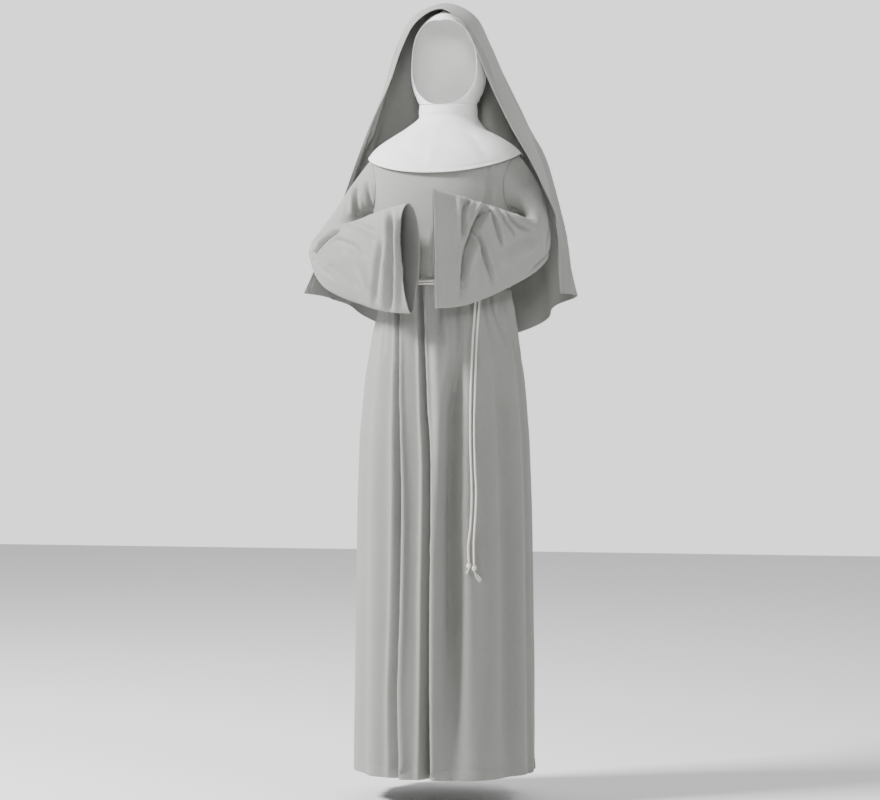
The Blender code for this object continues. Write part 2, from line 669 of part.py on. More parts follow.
def rope_tube(name, route, material, radii=None):
    """A cord as a round tube through the route's points, thicker where radii say so."""
    curve = bpy.data.curves.new(name, "CURVE")
    curve.dimensions = "3D"
    curve.bevel_depth = ROPE_DIAMETER * 0.5
    curve.bevel_resolution = 2
    curve.use_fill_caps = True
    spline = curve.splines.new("POLY")
    spline.points.add(len(route) - 1)
    for number, point in enumerate(route):
        spline.points[number].co = (*point[:3], 1.0)
        if radii:
            spline.points[number].radius = radii[number] / curve.bevel_depth
    curve.materials.append(material)
    piece = bpy.data.objects.new(name, curve)
    bpy.context.scene.collection.objects.link(piece)
    return piece


def smooth_route(route, count):
    """Points at even shares of a smooth curve through the route's own points."""
    last = len(route) - 1
    return [along_rows(route, last * number / (count - 1)) for number in range(count)]


def make_knot(name, knot, material):
    rope_tube(name, knot, material, [point.radius for point in knot])


def belt_route(height):
    """A turn of rope round the robe's waist, from one side of the knot to the other."""
    route = []
    section = smooth_at_height(ROBE_SECTIONS, WAIST_HEIGHT)
    power = 2.0 / ROBE_ROUNDNESS
    for step in range(BELT_POINTS):
        share = step / (BELT_POINTS - 1)
        angle = KNOT_ANGLE + KNOT_HALF_ANGLE + (360.0 - 2.0 * KNOT_HALF_ANGLE) * share
        sine = math.sin(math.radians(angle))
        cosine = math.cos(math.radians(angle))
        depth = section.front if cosine > 0.0 else section.back
        point = Vector((
            section.half_width * math.copysign(abs(sine) ** power, sine),
            -depth * math.copysign(abs(cosine) ** power, cosine), 0.0))
        point *= (point.length + BELT_CLEARANCE) / point.length
        point.z = height
        route.append(point)
    return route


def main():
    clear_scene()
    grey = make_material("grey_cloth", GREY, 0.8)
    white = make_material("white_cloth", WHITE, 0.75)
    cord = make_material("cord", CORD_WHITE, 0.85)
    make_robe_panel("robe_front", 0.0, FRONT_COLUMNS, grey)
    make_robe_panel("robe_back", 180.0, BACK_COLUMNS, grey)
    make_sleeve("sleeve_right", RIGHT_SLEEVE, -1, grey)
    make_sleeve("sleeve_left", LEFT_SLEEVE, 1, grey)
    make_coif("coif", white)
    make_collar("collar", white)
    make_veil("veil", grey)
    rope_tube("belt_strand_upper", belt_route(WAIST_HEIGHT + BELT_STRAND_OFFSET), cord)
    rope_tube("belt_strand_lower", belt_route(WAIST_HEIGHT - BELT_STRAND_OFFSET), cord)
    make_knot("waist_knot", WAIST_KNOT, cord)
    rope_tube("tail_left", smooth_route(TAIL_LEFT, TAIL_POINTS), cord)
    rope_tube("tail_right", smooth_route(TAIL_RIGHT, TAIL_POINTS), cord)
    make_knot("end_knot_left", END_KNOT_LEFT, cord)
    make_knot("end_knot_right", END_KNOT_RIGHT, cord)


main()
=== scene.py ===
# %% [markdown]
# # A nun habit, worn by nobody
#
# This lesson dresses a plain CAD model of a nun habit in real-looking cloth. The CAD model holds
# the shape and the sizes; everything here is laid on the same shape, in metres, with +Z up and
# the robe's front towards -Y. The first cell loads that model as a fixed frame.

# %% Load the frame
import math
from collections import namedtuple

import bpy
import numpy as np
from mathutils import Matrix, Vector


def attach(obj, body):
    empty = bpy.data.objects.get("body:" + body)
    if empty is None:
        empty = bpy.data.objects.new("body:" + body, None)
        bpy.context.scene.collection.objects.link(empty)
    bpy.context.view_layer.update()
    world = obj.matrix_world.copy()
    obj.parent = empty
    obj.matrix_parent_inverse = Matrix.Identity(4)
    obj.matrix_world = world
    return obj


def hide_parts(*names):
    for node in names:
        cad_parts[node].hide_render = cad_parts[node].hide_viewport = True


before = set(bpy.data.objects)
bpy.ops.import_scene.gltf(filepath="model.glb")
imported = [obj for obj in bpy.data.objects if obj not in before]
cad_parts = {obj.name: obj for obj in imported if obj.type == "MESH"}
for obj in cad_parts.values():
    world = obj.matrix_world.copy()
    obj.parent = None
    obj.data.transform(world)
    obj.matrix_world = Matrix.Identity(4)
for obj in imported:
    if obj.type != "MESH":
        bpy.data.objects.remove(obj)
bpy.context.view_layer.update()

# %% [markdown]
# ## Camera
#
# A habit is a tall, narrow thing, so it is looked at from far away with a long lens. A short lens
# close by would make the head look small and the hem look wide. The camera stands a little to
# the wearer's left of straight ahead, and level, which keeps upright lines upright.

# %% Camera
VIEW_TURN = math.radians(12.0)
VIEW_DISTANCE = 5.0
VIEW_MIDDLE = Vector((-0.0129, -0.0027, -0.559))
SENSOR = 36.0
FRAME_WIDTH = 1.936

camera_data = bpy.data.cameras.new("camera")
camera_data.sensor_width = SENSOR
camera_data.lens = SENSOR * VIEW_DISTANCE / FRAME_WIDTH
camera = bpy.data.objects.new("camera", camera_data)
toward = Vector((math.sin(VIEW_TURN), -math.cos(VIEW_TURN), 0.0))
camera.location = VIEW_MIDDLE + toward * VIEW_DISTANCE
camera.rotation_euler = (math.radians(90.0), 0.0, VIEW_TURN)
bpy.context.scene.collection.objects.link(camera)
bpy.context.scene.camera = camera
print("lens", round(camera_data.lens, 1), "mm")

# %% [markdown]
# ## Helpers for shapes given by tables
#
# Every piece is a grid of points. A few rows of sizes, like the rows of a tailor's size chart,
# say where the cloth is at some levels, and the helpers below fill in between them. Numpy works
# out whole grids at once, which is much faster than moving one vertex at a time.

# %% Smooth values between the rows of a table
def between(rows, places):
    """Catmull-Rom values of a table's columns at places counted in rows."""
    rows = np.asarray(rows, dtype=float)
    last = len(rows) - 1
    places = np.asarray(places, dtype=float)
    index = np.clip(places.astype(int), 0, last - 1)
    share = (places - index)[..., None]
    before = rows[np.maximum(index - 1, 0)]
    start = rows[index]
    end = rows[index + 1]
    after = rows[np.minimum(index + 2, last)]
    slope_start = (end - before) * 0.5
    slope_end = (after - start) * 0.5
    gap = end - start
    cubic = slope_start + slope_end - 2.0 * gap
    square = 3.0 * gap - 2.0 * slope_start - slope_end
    return start + slope_start * share + square * share ** 2 + cubic * share ** 3


def at_heights(rows, heights, span):
    """A section table's columns at heights, averaged over a span, which rounds its corners."""
    table = np.asarray(sorted(rows, key=lambda row: row[0]), dtype=float)
    heights = np.asarray(heights, dtype=float)
    found = []
    for column in range(1, table.shape[1]):
        total = 0.0
        for step in (-1.0, -0.5, 0.0, 0.5, 1.0):
            total = total + np.interp(heights + span * step, table[:, 0], table[:, column])
        found.append(total / 5.0)
    return found


def signed_power(value, power):
    return np.sign(value) * np.abs(value) ** power


def bump(value):
    """A soft round hump, 1 at 0 and gone by about 2."""
    return np.exp(-np.square(value))


def soft_share(share):
    """A share from 0 to 1 that starts and stops gently."""
    return share * share * (3.0 - 2.0 * share)


# %% [markdown]
# ## Helpers for creases
#
# Cloth that hangs still keeps its creases for as long as it hangs, so they are pressed in one by
# one instead of being simulated. A fitter chalks a line on the garment while looking at it from one
# side. Each crease here is such a line: places across and up, in metres, as seen from one
# direction, with a depth and a width. The helper finds where the chalk meets the cloth and sinks
# the cloth along it, with a faint lip on each side. "fade" is the share of the line over which
# each end dies away, and "widen" says how many times as wide the line's end is as its start. A
# negative depth lifts a ridge instead.

# %% Chalk a line and press a crease
Crease = namedtuple("Crease", "view depth width marks fade widen", defaults=(0.25, 1.0))
CHALK_GAP = 0.004
FACING_LEAST = 0.08
CHALK_REACH = 0.008
NEARNESS_WEIGHT = 4.0
LIP_SHARE = 0.20
LIP_PLACE = 1.8
LIP_WIDTH = 0.9
WIDTHS_AWAY = 3.5


def grid_normals(grid, closed, middle=(0.0, 0.0, 0.0)):
    """The outward direction across the cloth at every point of a grid."""
    if closed:
        around = np.concatenate([grid[:, -1:], grid, grid[:, :1]], axis=1)
        along_columns = (around[:, 2:] - around[:, :-2]) * 0.5
    else:
        along_columns = np.gradient(grid, axis=1)
    along_rows = np.gradient(grid, axis=0)
    normals = np.cross(along_columns, along_rows)
    length = np.linalg.norm(normals, axis=2, keepdims=True)
    normals /= np.maximum(length, 1e-12)
    from_middle = grid - (grid.mean(axis=1, keepdims=True) if closed else middle)
    if np.sum(normals * from_middle) < 0.0:
        normals = -normals
    return normals


def smooth_line(marks):
    """A chalk line's marks joined by a smooth curve, with a point every few millimetres."""
    marks = np.asarray(marks, dtype=float)
    length = np.linalg.norm(np.diff(marks, axis=0), axis=1).sum()
    count = max(6, int(length / CHALK_GAP))
    return between(marks, np.linspace(0.0, len(marks) - 1.0, count))


def chalk(grid, normals, view, marks):
    """The places on the cloth under a line drawn as seen from a direction."""
    turn = math.radians(view)
    across = np.array([math.cos(turn), math.sin(turn), 0.0])
    toward_viewer = np.array([math.sin(turn), -math.cos(turn), 0.0])
    points = grid.reshape(-1, 3)
    facing = normals.reshape(-1, 3) @ toward_viewer
    seen = points[facing > FACING_LEAST]
    flat = np.stack([seen @ across, seen[:, 2]], axis=1)
    nearness = seen @ toward_viewer
    route = []
    for mark in smooth_line(marks):
        distance = np.linalg.norm(flat - mark, axis=1)
        close = distance < max(distance.min() * 1.5, CHALK_REACH)
        index = np.flatnonzero(close)
        best = index[np.argmax(nearness[index] - NEARNESS_WEIGHT * distance[index])]
        route.append(seen[best])
    return np.array(route)


def soften_route(route, passes=6):
    for _ in range(passes):
        middle = (route[:-2] + 2.0 * route[1:-1] + route[2:]) / 4.0
        route = np.concatenate([route[:1], middle, route[-1:]])
    return route


def press(grid, normals, creases):
    """Sink each crease into a grid of points, against its outward normals."""
    points = grid.reshape(-1, 3)
    away = normals.reshape(-1, 3)
    moved = np.zeros(len(points))
    for crease in creases:
        route = soften_route(chalk(grid, normals, crease.view, crease.marks))
        shares = np.linspace(0.0, 1.0, len(route))
        strength = np.clip(np.minimum(shares, 1.0 - shares) / crease.fade, 0.0, 1.0)
        strength = soft_share(strength)
        widths = crease.width * (1.0 + (crease.widen - 1.0) * shares)
        low = route.min(axis=0) - WIDTHS_AWAY * widths.max()
        high = route.max(axis=0) + WIDTHS_AWAY * widths.max()
        near = np.flatnonzero(np.all((points > low) & (points < high), axis=1))
        if not len(near):
            continue
        gaps = points[near][:, None, :] - route[None, :, :]
        distance = np.linalg.norm(gaps, axis=2)
        nearest = distance.argmin(axis=1)
        reach = distance[np.arange(len(near)), nearest] / widths[nearest]
        profile = -bump(reach) + LIP_SHARE * bump((reach - LIP_PLACE) / LIP_WIDTH)
        moved[near] += crease.depth * strength[nearest] * profile
    return (points + away * moved[:, None]).reshape(grid.shape)


# %% [markdown]
# ## Helper for sheets
#
# A grid of points becomes a mesh with a face between each four neighbours. Solidify gives it the
# thickness of real cloth, and the UV map is laid out in metres, so a weave keeps its size on every
# piece. The builder could also extrude or subdivide a coarse mesh, but a grid made from a formula
# keeps the listed creases exact.

# %% Turn a grid into a sheet of cloth
CLOTH_THICKNESS = 0.0012


def grid_mesh(name, grid, closed=False, flip=False):
    """A mesh over a grid of points, with its UV map in metres."""
    rows, columns = grid.shape[:2]
    mesh = bpy.data.meshes.new(name)
    across = columns if closed else columns - 1
    row = np.arange(rows - 1)[:, None]
    column = np.arange(across)[None, :]
    beside = (column + 1) % columns
    corners = np.stack([
        row * columns + column, row * columns + beside,
        (row + 1) * columns + beside, (row + 1) * columns + column], axis=-1).reshape(-1, 4)
    if flip:
        corners = corners[:, ::-1]
    mesh.vertices.add(rows * columns)
    mesh.vertices.foreach_set("co", grid.reshape(-1).astype(np.float32))
    mesh.loops.add(corners.size)
    mesh.loops.foreach_set("vertex_index", corners.reshape(-1).astype(np.int32))
    mesh.polygons.add(len(corners))
    mesh.polygons.foreach_set("loop_start", np.arange(0, corners.size, 4, dtype=np.int32))
    steps = np.linalg.norm(np.diff(grid, axis=0), axis=2).mean(axis=1)
    up = np.concatenate([[0.0], np.cumsum(steps)])
    wrapped = np.concatenate([grid, grid[:, :1]], axis=1)
    side_steps = np.linalg.norm(np.diff(wrapped, axis=1), axis=2).mean(axis=0)
    along = np.concatenate([[0.0], np.cumsum(side_steps)])
    loop_up = np.stack([up[row + 0 * column], up[row + 0 * column],
                        up[row + 1 + 0 * column], up[row + 1 + 0 * column]], axis=-1)
    loop_along = np.stack([along[column + 0 * row], along[column + 1 + 0 * row],
                           along[column + 1 + 0 * row], along[column + 0 * row]], axis=-1)
    uv = np.stack([loop_along.reshape(-1, 4), loop_up.reshape(-1, 4)], axis=-1)
    if flip:
        uv = uv[:, ::-1]
    layer = mesh.uv_layers.new(name="cut")
    layer.data.foreach_set("uv", uv.reshape(-1).astype(np.float32))
    mesh.update(calc_edges=True)
    mesh.validate()
    mesh.shade_smooth()
    return mesh


def make_sheet(name, grid, material, closed=False, flip=False, thickness=CLOTH_THICKNESS):
    """A sheet of cloth as an object that rides on the frame."""
    piece = bpy.data.objects.new(name, grid_mesh(name, grid, closed, flip))
    piece.data.materials.append(material)
    bpy.context.scene.collection.objects.link(piece)
    wall = piece.modifiers.new("Wall", "SOLIDIFY")
    wall.thickness = thickness
    wall.offset = 0.0
    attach(piece, "root")
    print(name, grid.shape[0], "by", grid.shape[1], "points")
    return piece


def row_length(grid, row, closed=False):
    """The length of one row of a grid."""
    line = grid[row]
    if closed:
        line = np.concatenate([line, line[:1]])
    return np.linalg.norm(np.diff(line, axis=0), axis=1).sum()


# %% [markdown]
# ## Helper for stitches
#
# A machine stitch is a short thread that dips into the cloth at both ends. Each is made as a slim
# five-sided bead, and a row of them is one object. A drawn line of colour would look painted on,
# and a curve with a bevel would need far more triangles.

# %% A row of stitches
STITCH_LENGTH = 0.0024
STITCH_GAP = 0.0010
THREAD_RADIUS = 0.0003
THREAD_SIDES = 5
BEAD = [
    # place along the stitch, share of the thread's radius
    (-0.5, 0.15), (-0.25, 1.0), (0.25, 1.0), (0.5, 0.15),
]


def line_on(grid, closed, distance, middle=(0.0, 0.0, 0.0), from_end=False):
    """A line on a sheet's outer face, at a distance from its first or last row."""
    face = grid + grid_normals(grid, closed, middle) * CLOTH_THICKNESS * 0.5
    if from_end:
        face = face[::-1]
    steps = np.linalg.norm(np.diff(face, axis=0), axis=2)
    line = []
    for column in range(face.shape[1]):
        far = np.concatenate([[0.0], np.cumsum(steps[:, column])])
        line.append([np.interp(distance, far, face[:, column, axis]) for axis in range(3)])
    if closed:
        line.append(line[0])
    return np.array(line)


def stitches(name, lines, material):
    """Rows of stitches along lines of points that lie on the cloth's face."""
    sides = np.linspace(0.0, 2.0 * math.pi, THREAD_SIDES, endpoint=False)
    points, faces = [], []
    for line in lines:
        step = STITCH_LENGTH + STITCH_GAP
        length = np.linalg.norm(np.diff(line, axis=0), axis=1).sum()
        count = int(length / step)
        spots = between(line, np.linspace(0.0, len(line) - 1.0, count * 2 + 1))
        for number in range(count):
            start, centre, end = spots[2 * number], spots[2 * number + 1], spots[2 * number + 2]
            along = (end - start) / max(np.linalg.norm(end - start), 1e-9)
            beside = np.cross(along, (0.1, 0.2, 0.97))
            if np.linalg.norm(beside) < 0.2:
                beside = np.cross(along, (0.9, 0.3, 0.1))
            beside /= np.linalg.norm(beside)
            above = np.cross(along, beside)
            first = len(points) * THREAD_SIDES
            for place, swell in BEAD:
                ring = centre + along * place * STITCH_LENGTH
                reach = THREAD_RADIUS * swell
                points.append(ring + np.outer(np.cos(sides), beside * reach)
                              + np.outer(np.sin(sides), above * reach))
            for ring in range(len(BEAD) - 1):
                low = first + ring * THREAD_SIDES
                for corner in range(THREAD_SIDES):
                    after = (corner + 1) % THREAD_SIDES
                    faces.append((low + corner, low + after, low + after + THREAD_SIDES,
                                  low + corner + THREAD_SIDES))
            faces.append(tuple(first + corner for corner in range(THREAD_SIDES))[::-1])
            faces.append(tuple(low + THREAD_SIDES + corner for corner in range(THREAD_SIDES)))
    mesh = bpy.data.meshes.new(name)
    mesh.from_pydata(np.concatenate(points).tolist(), [], faces)
    mesh.shade_smooth()
    mesh.materials.append(material)
    piece = bpy.data.objects.new(name, mesh)
    bpy.context.scene.collection.objects.link(piece)
    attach(piece, "root")
    print(name, len(faces), "faces")
    return piece


# %% [markdown]
# ## Finishes
#
# The robe, sleeves and veil are made as a soft mid-grey suiting: matt, with a faint sheen where it
# turns away. The coif and collar are made as a smooth white knit. Both are guesses, because the
# fibres can't be seen. An image of fabric could
# be wrapped on, but a few noise and wave nodes at the weave's real size stay sharp at any
# distance. The weave is a small bump; the colour only drifts by a few per cent, because dyed cloth
# is never quite even.

# %% A woven or knitted cloth material
def add_node(tree, kind, **values):
    node = tree.nodes.new(kind)
    for name, value in values.items():
        if name in node.inputs:
            node.inputs[name].default_value = value
        else:
            setattr(node, name, value)
    return node


def cloth_material(name, colour, drift, roughness, sheen, pitch, weave_depth):
    """Cloth with crossing threads at a pitch in metres and a slight drift of colour."""
    material = bpy.data.materials.new(name)
    material.use_nodes = True
    tree = material.node_tree
    shader = tree.nodes["Principled BSDF"]
    shader.inputs["Roughness"].default_value = roughness
    shader.inputs["Sheen Weight"].default_value = sheen
    shader.inputs["Sheen Roughness"].default_value = 0.45
    shader.inputs["Specular IOR Level"].default_value = 0.25
    link = tree.links.new
    place = add_node(tree, "ShaderNodeTexCoord")
    warp = add_node(tree, "ShaderNodeTexWave", Scale=0.314 / pitch, Distortion=0.6)
    warp.bands_direction = "X"
    weft = add_node(tree, "ShaderNodeTexWave", Scale=0.314 / pitch, Distortion=0.6)
    weft.bands_direction = "Y"
    link(place.outputs["UV"], warp.inputs["Vector"])
    link(place.outputs["UV"], weft.inputs["Vector"])
    weave = add_node(tree, "ShaderNodeMath", operation="MULTIPLY")
    link(warp.outputs["Fac"], weave.inputs[0])
    link(weft.outputs["Fac"], weave.inputs[1])
    slub = add_node(tree, "ShaderNodeTexNoise", Scale=1.0 / (pitch * 12.0), Detail=4.0)
    link(place.outputs["Object"], slub.inputs["Vector"])
    cloud = add_node(tree, "ShaderNodeTexNoise", Scale=9.0, Detail=3.0)
    link(place.outputs["Object"], cloud.inputs["Vector"])
    mixed = add_node(tree, "ShaderNodeMath", operation="ADD")
    link(slub.outputs["Fac"], mixed.inputs[0])
    link(cloud.outputs["Fac"], mixed.inputs[1])
    ramp = add_node(tree, "ShaderNodeMapRange")
    ramp.inputs["From Min"].default_value = 0.6
    ramp.inputs["From Max"].default_value = 1.4
    link(mixed.outputs[0], ramp.inputs["Value"])
    blend = add_node(tree, "ShaderNodeMix", data_type="RGBA")
    darker = [channel * (1.0 - drift) for channel in colour]
    lighter = [min(channel * (1.0 + drift), 1.0) for channel in colour]
    blend.inputs[6].default_value = (*darker, 1.0)
    blend.inputs[7].default_value = (*lighter, 1.0)
    link(ramp.outputs[0], blend.inputs[0])
    link(blend.outputs[2], shader.inputs["Base Color"])
    height = add_node(tree, "ShaderNodeMath", operation="MULTIPLY_ADD")
    link(slub.outputs["Fac"], height.inputs[0])
    height.inputs[1].default_value = 1.4
    link(weave.outputs[0], height.inputs[2])
    relief = add_node(tree, "ShaderNodeBump", Strength=0.5, Distance=weave_depth)
    link(height.outputs[0], relief.inputs["Height"])
    link(relief.outputs["Normal"], shader.inputs["Normal"])
    return material


GREY = (0.285, 0.286, 0.272)
WHITE = (0.84, 0.84, 0.83)
CORD_WHITE = (0.80, 0.78, 0.72)
grey_cloth = cloth_material("grey_cloth", GREY, 0.05, 0.78, 0.18, 0.0008, 0.00025)
white_cloth = cloth_material("white_cloth", WHITE, 0.02, 0.70, 0.10, 0.0006, 0.00015)
white_cord = cloth_material("white_cord", CORD_WHITE, 0.06, 0.85, 0.20, 0.0005, 0.0003)
grey_thread = cloth_material("grey_thread", (0.30, 0.30, 0.29), 0.03, 0.6, 0.1, 0.0004, 0.0001)
white_thread = cloth_material("white_thread", (0.78, 0.78, 0.77), 0.02, 0.6, 0.1, 0.0004, 0.0001)

# %% [markdown]
# ## The belt's rope, its knots and its two tails
#
# The belt is a white cord of three twisted plies, tied twice round the waist, with both ends
# hanging. A plain tube would look like plastic. The plies are made by letting the tube's radius
# dip three times round, with the dips turning as they go along, so the twist is real shape and
# shows in every light. The cords come first, because they have a real length to keep.

# %% Twisted cord along a route
ROPE_DIAMETER = 0.005
PLIES = 3
TWIST_PITCH = 0.012


def even_route(route, gap):
    """The route's points, spaced evenly."""
    route = np.asarray(route, dtype=float)
    steps = np.linalg.norm(np.diff(route, axis=0), axis=1)
    far = np.concatenate([[0.0], np.cumsum(steps)])
    count = max(4, int(round(far[-1] / gap)) + 1)
    places = np.linspace(0.0, far[-1], count)
    return np.stack([np.interp(places, far, route[:, axis]) for axis in range(3)], axis=1)


def twisted_grid(route, diameter, radii=None, around=18, gap=0.0012, depth=0.46):
    """A tube of twisted plies as rings of points, thicker where radii say so."""
    line = even_route(route, gap)
    far = np.linspace(0.0, 1.0, len(line))
    tangents = np.gradient(line, axis=0)
    tangents /= np.linalg.norm(tangents, axis=1, keepdims=True)
    side = np.cross(tangents[0], [0.31, 0.22, 0.92])
    side /= np.linalg.norm(side)
    rings = []
    for number, (centre, tangent) in enumerate(zip(line, tangents)):
        side = side - tangent * np.dot(side, tangent)
        side /= np.linalg.norm(side)
        other = np.cross(tangent, side)
        turn = np.linspace(0.0, 2.0 * math.pi, around, endpoint=False)
        phase = 2.0 * math.pi * number * gap / TWIST_PITCH
        ply = np.abs(np.cos((turn - phase) * PLIES * 0.5))
        radius = diameter * 0.5
        if radii is not None:
            radius = np.interp(far[number], np.linspace(0.0, 1.0, len(radii)), radii)
        reach = radius * (1.0 - depth + depth * ply)
        rings.append(centre + np.outer(np.cos(turn) * reach, side)
                     + np.outer(np.sin(turn) * reach, other))
    return np.array(rings), line


def close_ends(grid):
    """The rings with one tiny ring at each end, which shuts the tube."""
    first = grid[0].mean(axis=0) + (grid[0] - grid[0].mean(axis=0)) * 0.05
    last = grid[-1].mean(axis=0) + (grid[-1] - grid[-1].mean(axis=0)) * 0.05
    return np.concatenate([first[None], grid, last[None]])


def make_rope(name, routes, diameter=ROPE_DIAMETER, radii=None, depth=0.46, around=18):
    """One object of one or more lengths of twisted cord."""
    bits = []
    line = None
    for route in routes:
        grid, line = twisted_grid(route, diameter, radii, around=around, depth=depth)
        bits.append(grid_mesh(name, close_ends(grid), closed=True, flip=True))
    piece = join_meshes(name, bits, white_cord)
    return piece, line


def join_meshes(name, meshes, material):
    """One object from several meshes."""
    parts = []
    for mesh in meshes:
        part = bpy.data.objects.new(name, mesh)
        bpy.context.scene.collection.objects.link(part)
        parts.append(part)
    with bpy.context.temp_override(
            active_object=parts[0], selected_editable_objects=parts, object=parts[0]):
        if len(parts) > 1:
            bpy.ops.object.join()
    piece = parts[0]
    piece.name = name
    piece.data.materials.clear()
    piece.data.materials.append(material)
    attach(piece, "root")
    return piece


# %% The tails' routes
TAIL_LEFT = [
    (0.0962, -0.1080, -0.3185),
    (0.0960, -0.1085, -0.3500),
    (0.0945, -0.1170, -0.3900),
    (0.0928, -0.1245, -0.4400),
    (0.0908, -0.1315, -0.5340),
    (0.0898, -0.1365, -0.6190),
    (0.0925, -0.1402, -0.7000),
    (0.0952, -0.1418, -0.7500),
    (0.0945, -0.1440, -0.8000),
    (0.0915, -0.1475, -0.8600),
    (0.0925, -0.1500, -0.9090),
]
TAIL_RIGHT = [
    (0.0888, -0.1080, -0.3185),
    (0.0882, -0.1125, -0.3500),
    (0.0868, -0.1205, -0.3900),
    (0.0848, -0.1275, -0.4400),
    (0.0822, -0.1355, -0.5500),
    (0.0825, -0.1400, -0.6500),
    (0.0856, -0.1430, -0.7300),
    (0.0862, -0.1445, -0.7800),
    (0.0838, -0.1465, -0.8300),
    (0.0795, -0.1485, -0.8700),
    (0.0812, -0.1500, -0.9040),
]


def route_length(route):
    return float(np.linalg.norm(np.diff(np.asarray(route), axis=0), axis=1).sum())


# %% End knots
KNOT_TURNS = 2.2


def end_knot(name, top, frays):
    """An overhand knot: turns of cord round the tail, with its short end untwisted below."""
    top = np.array(top)
    turn = np.linspace(0.0, 2.0 * math.pi * KNOT_TURNS, 60)
    radius = 0.0034 + 0.0004 * np.sin(turn * 1.3)
    coil = np.stack([
        top[0] + radius * np.cos(turn), top[1] + radius * np.sin(turn),
        top[2] - 0.0035 - 0.0075 * turn / turn[-1] + 0.0012 * np.sin(turn)], axis=1)
    core = np.stack([top + (0.0, 0.0, 0.001), top + (0.0, 0.0, -0.008),
                     top + (0.0, 0.0, -0.016)])
    bits = []
    for route, diameter in ((coil, 0.0042), (core, 0.0042)):
        grid, _ = twisted_grid(between(route, np.linspace(0, len(route) - 1, 40)), diameter,
                               gap=0.0008)
        bits.append(grid_mesh(name, close_ends(grid), closed=True, flip=True))
    start = top + (0.0, 0.0, -0.0145)
    for number, (dx, dy, dz, bend) in enumerate(frays):
        end = start + (dx, dy, dz)
        middle = (start + end) * 0.5 + (bend, 0.001 * (number % 3 - 1), 0.0)
        strand = between([start, middle, end], np.linspace(0.0, 2.0, 14))
        grid, _ = twisted_grid(strand, 0.0011, around=6, gap=0.0015)
        bits.append(grid_mesh(name, close_ends(grid), closed=True, flip=True))
    piece = join_meshes(name, bits, white_cord)
    return piece


FRAYS_LEFT = [
    (0.0160, 0.0005, -0.0220, -0.0020), (0.0150, -0.0010, -0.0190, 0.0010),
    (0.0120, 0.0010, -0.0215, -0.0015), (0.0130, 0.0000, -0.0240, -0.0030),
    (0.0170, -0.0005, -0.0175, 0.0005), (0.0090, 0.0008, -0.0200, -0.0010),
    (0.0110, -0.0012, -0.0230, 0.0000), (0.0145, 0.0012, -0.0205, -0.0040),
]
FRAYS_RIGHT = [
    (-0.0070, 0.0005, -0.0110, 0.0005), (-0.0078, -0.0008, -0.0090, -0.0010),
    (-0.0050, 0.0010, -0.0122, 0.0008), (-0.0060, 0.0000, -0.0100, -0.0012),
    (-0.0034, -0.0008, -0.0115, 0.0000), (-0.0066, 0.0010, -0.0075, 0.0004),
]
knot_left = end_knot("end_knot_left_rope", TAIL_LEFT[-1], FRAYS_LEFT)
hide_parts("end_knot_left")
knot_right = end_knot("end_knot_right_rope", TAIL_RIGHT[-1], FRAYS_RIGHT)
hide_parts("end_knot_right")

# %% Tails
for name, marks, knot in (("tail_left", TAIL_LEFT, knot_left),
                          ("tail_right", TAIL_RIGHT, knot_right)):
    route = between(marks, np.linspace(0.0, len(marks) - 1.0, 240))
    tail, line = make_rope(name + "_rope", [route])
    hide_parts(name)
    print(name, round(route_length(line), 3), "m")

# %% [markdown]
# ## The robe
#
# The robe is cut as a front and a back panel, sewn together at the shoulders and sides, with
# openings for the sleeves. Its form is a stack of rounded sections, one row of the table for each
# level. The skirt's deep folds start small under the belt and open towards the hem, so each fold
# has an angle and a depth at the waist and at the hem.

# %% The robe's sections and folds
ROBE_SECTIONS = [
    # height, half width, front, back
    (0.045, 0.064, 0.062, 0.064),
    (0.022, 0.100, 0.082, 0.082),
    (0.005, 0.131, 0.097, 0.094),
    (-0.012, 0.153, 0.109, 0.102),
    (-0.026, 0.164, 0.116, 0.107),
    (-0.050, 0.168, 0.124, 0.111),
    (-0.100, 0.165, 0.134, 0.115),
    (-0.160, 0.159, 0.137, 0.114),
    (-0.220, 0.148, 0.132, 0.108),
    (-0.280, 0.135, 0.122, 0.102),
    (-0.306, 0.131, 0.118, 0.100),
    (-0.340, 0.137, 0.124, 0.108),
    (-0.400, 0.153, 0.134, 0.124),
    (-0.500, 0.169, 0.141, 0.138),
    (-0.640, 0.181, 0.147, 0.148),
    (-0.800, 0.186, 0.152, 0.154),
    (-1.000, 0.188, 0.159, 0.161),
    (-1.200, 0.191, 0.167, 0.169),
    (-1.400, 0.194, 0.176, 0.178),
]
SKIRT_FOLDS = [
    # waist angle, hem angle, waist depth, hem depth, half angle
    (-58.0, -52.0, 0.002, 0.007, 9.0),
    (-35.0, -27.0, 0.004, 0.013, 8.0),
    (-10.0, -4.0, 0.004, 0.014, 8.0),
    (24.0, 14.0, 0.003, 0.010, 9.0),
    (57.0, 58.0, 0.004, 0.009, 11.0),
    (92.0, 96.0, 0.003, 0.008, 10.0),
    (124.0, 121.0, 0.004, 0.012, 10.0),
    (152.0, 149.0, 0.004, 0.011, 9.0),
    (181.0, 178.0, 0.003, 0.013, 10.0),
    (208.0, 213.0, 0.004, 0.010, 9.0),
    (238.0, 241.0, 0.004, 0.012, 10.0),
    (268.0, 264.0, 0.002, 0.007, 9.0),
]
ROUNDING_SPAN = 0.012
FOLD_FADE_HEIGHT = 0.08
FOLD_GROWTH_POWER = 0.6
TROUGH_SHARE = 0.65
FOLD_LIP_SHARE = 0.35
FOLD_LIP_PLACE = 1.7
SKIRT_SHIFT_DROP = 0.3
ROBE_ROUNDNESS = 2.15
SKIRT_SHIFT = 0.004
SHOULDER_HEIGHT = -0.026
ARMPIT_HEIGHT = -0.160
ARMHOLE_SPREAD = 31.0
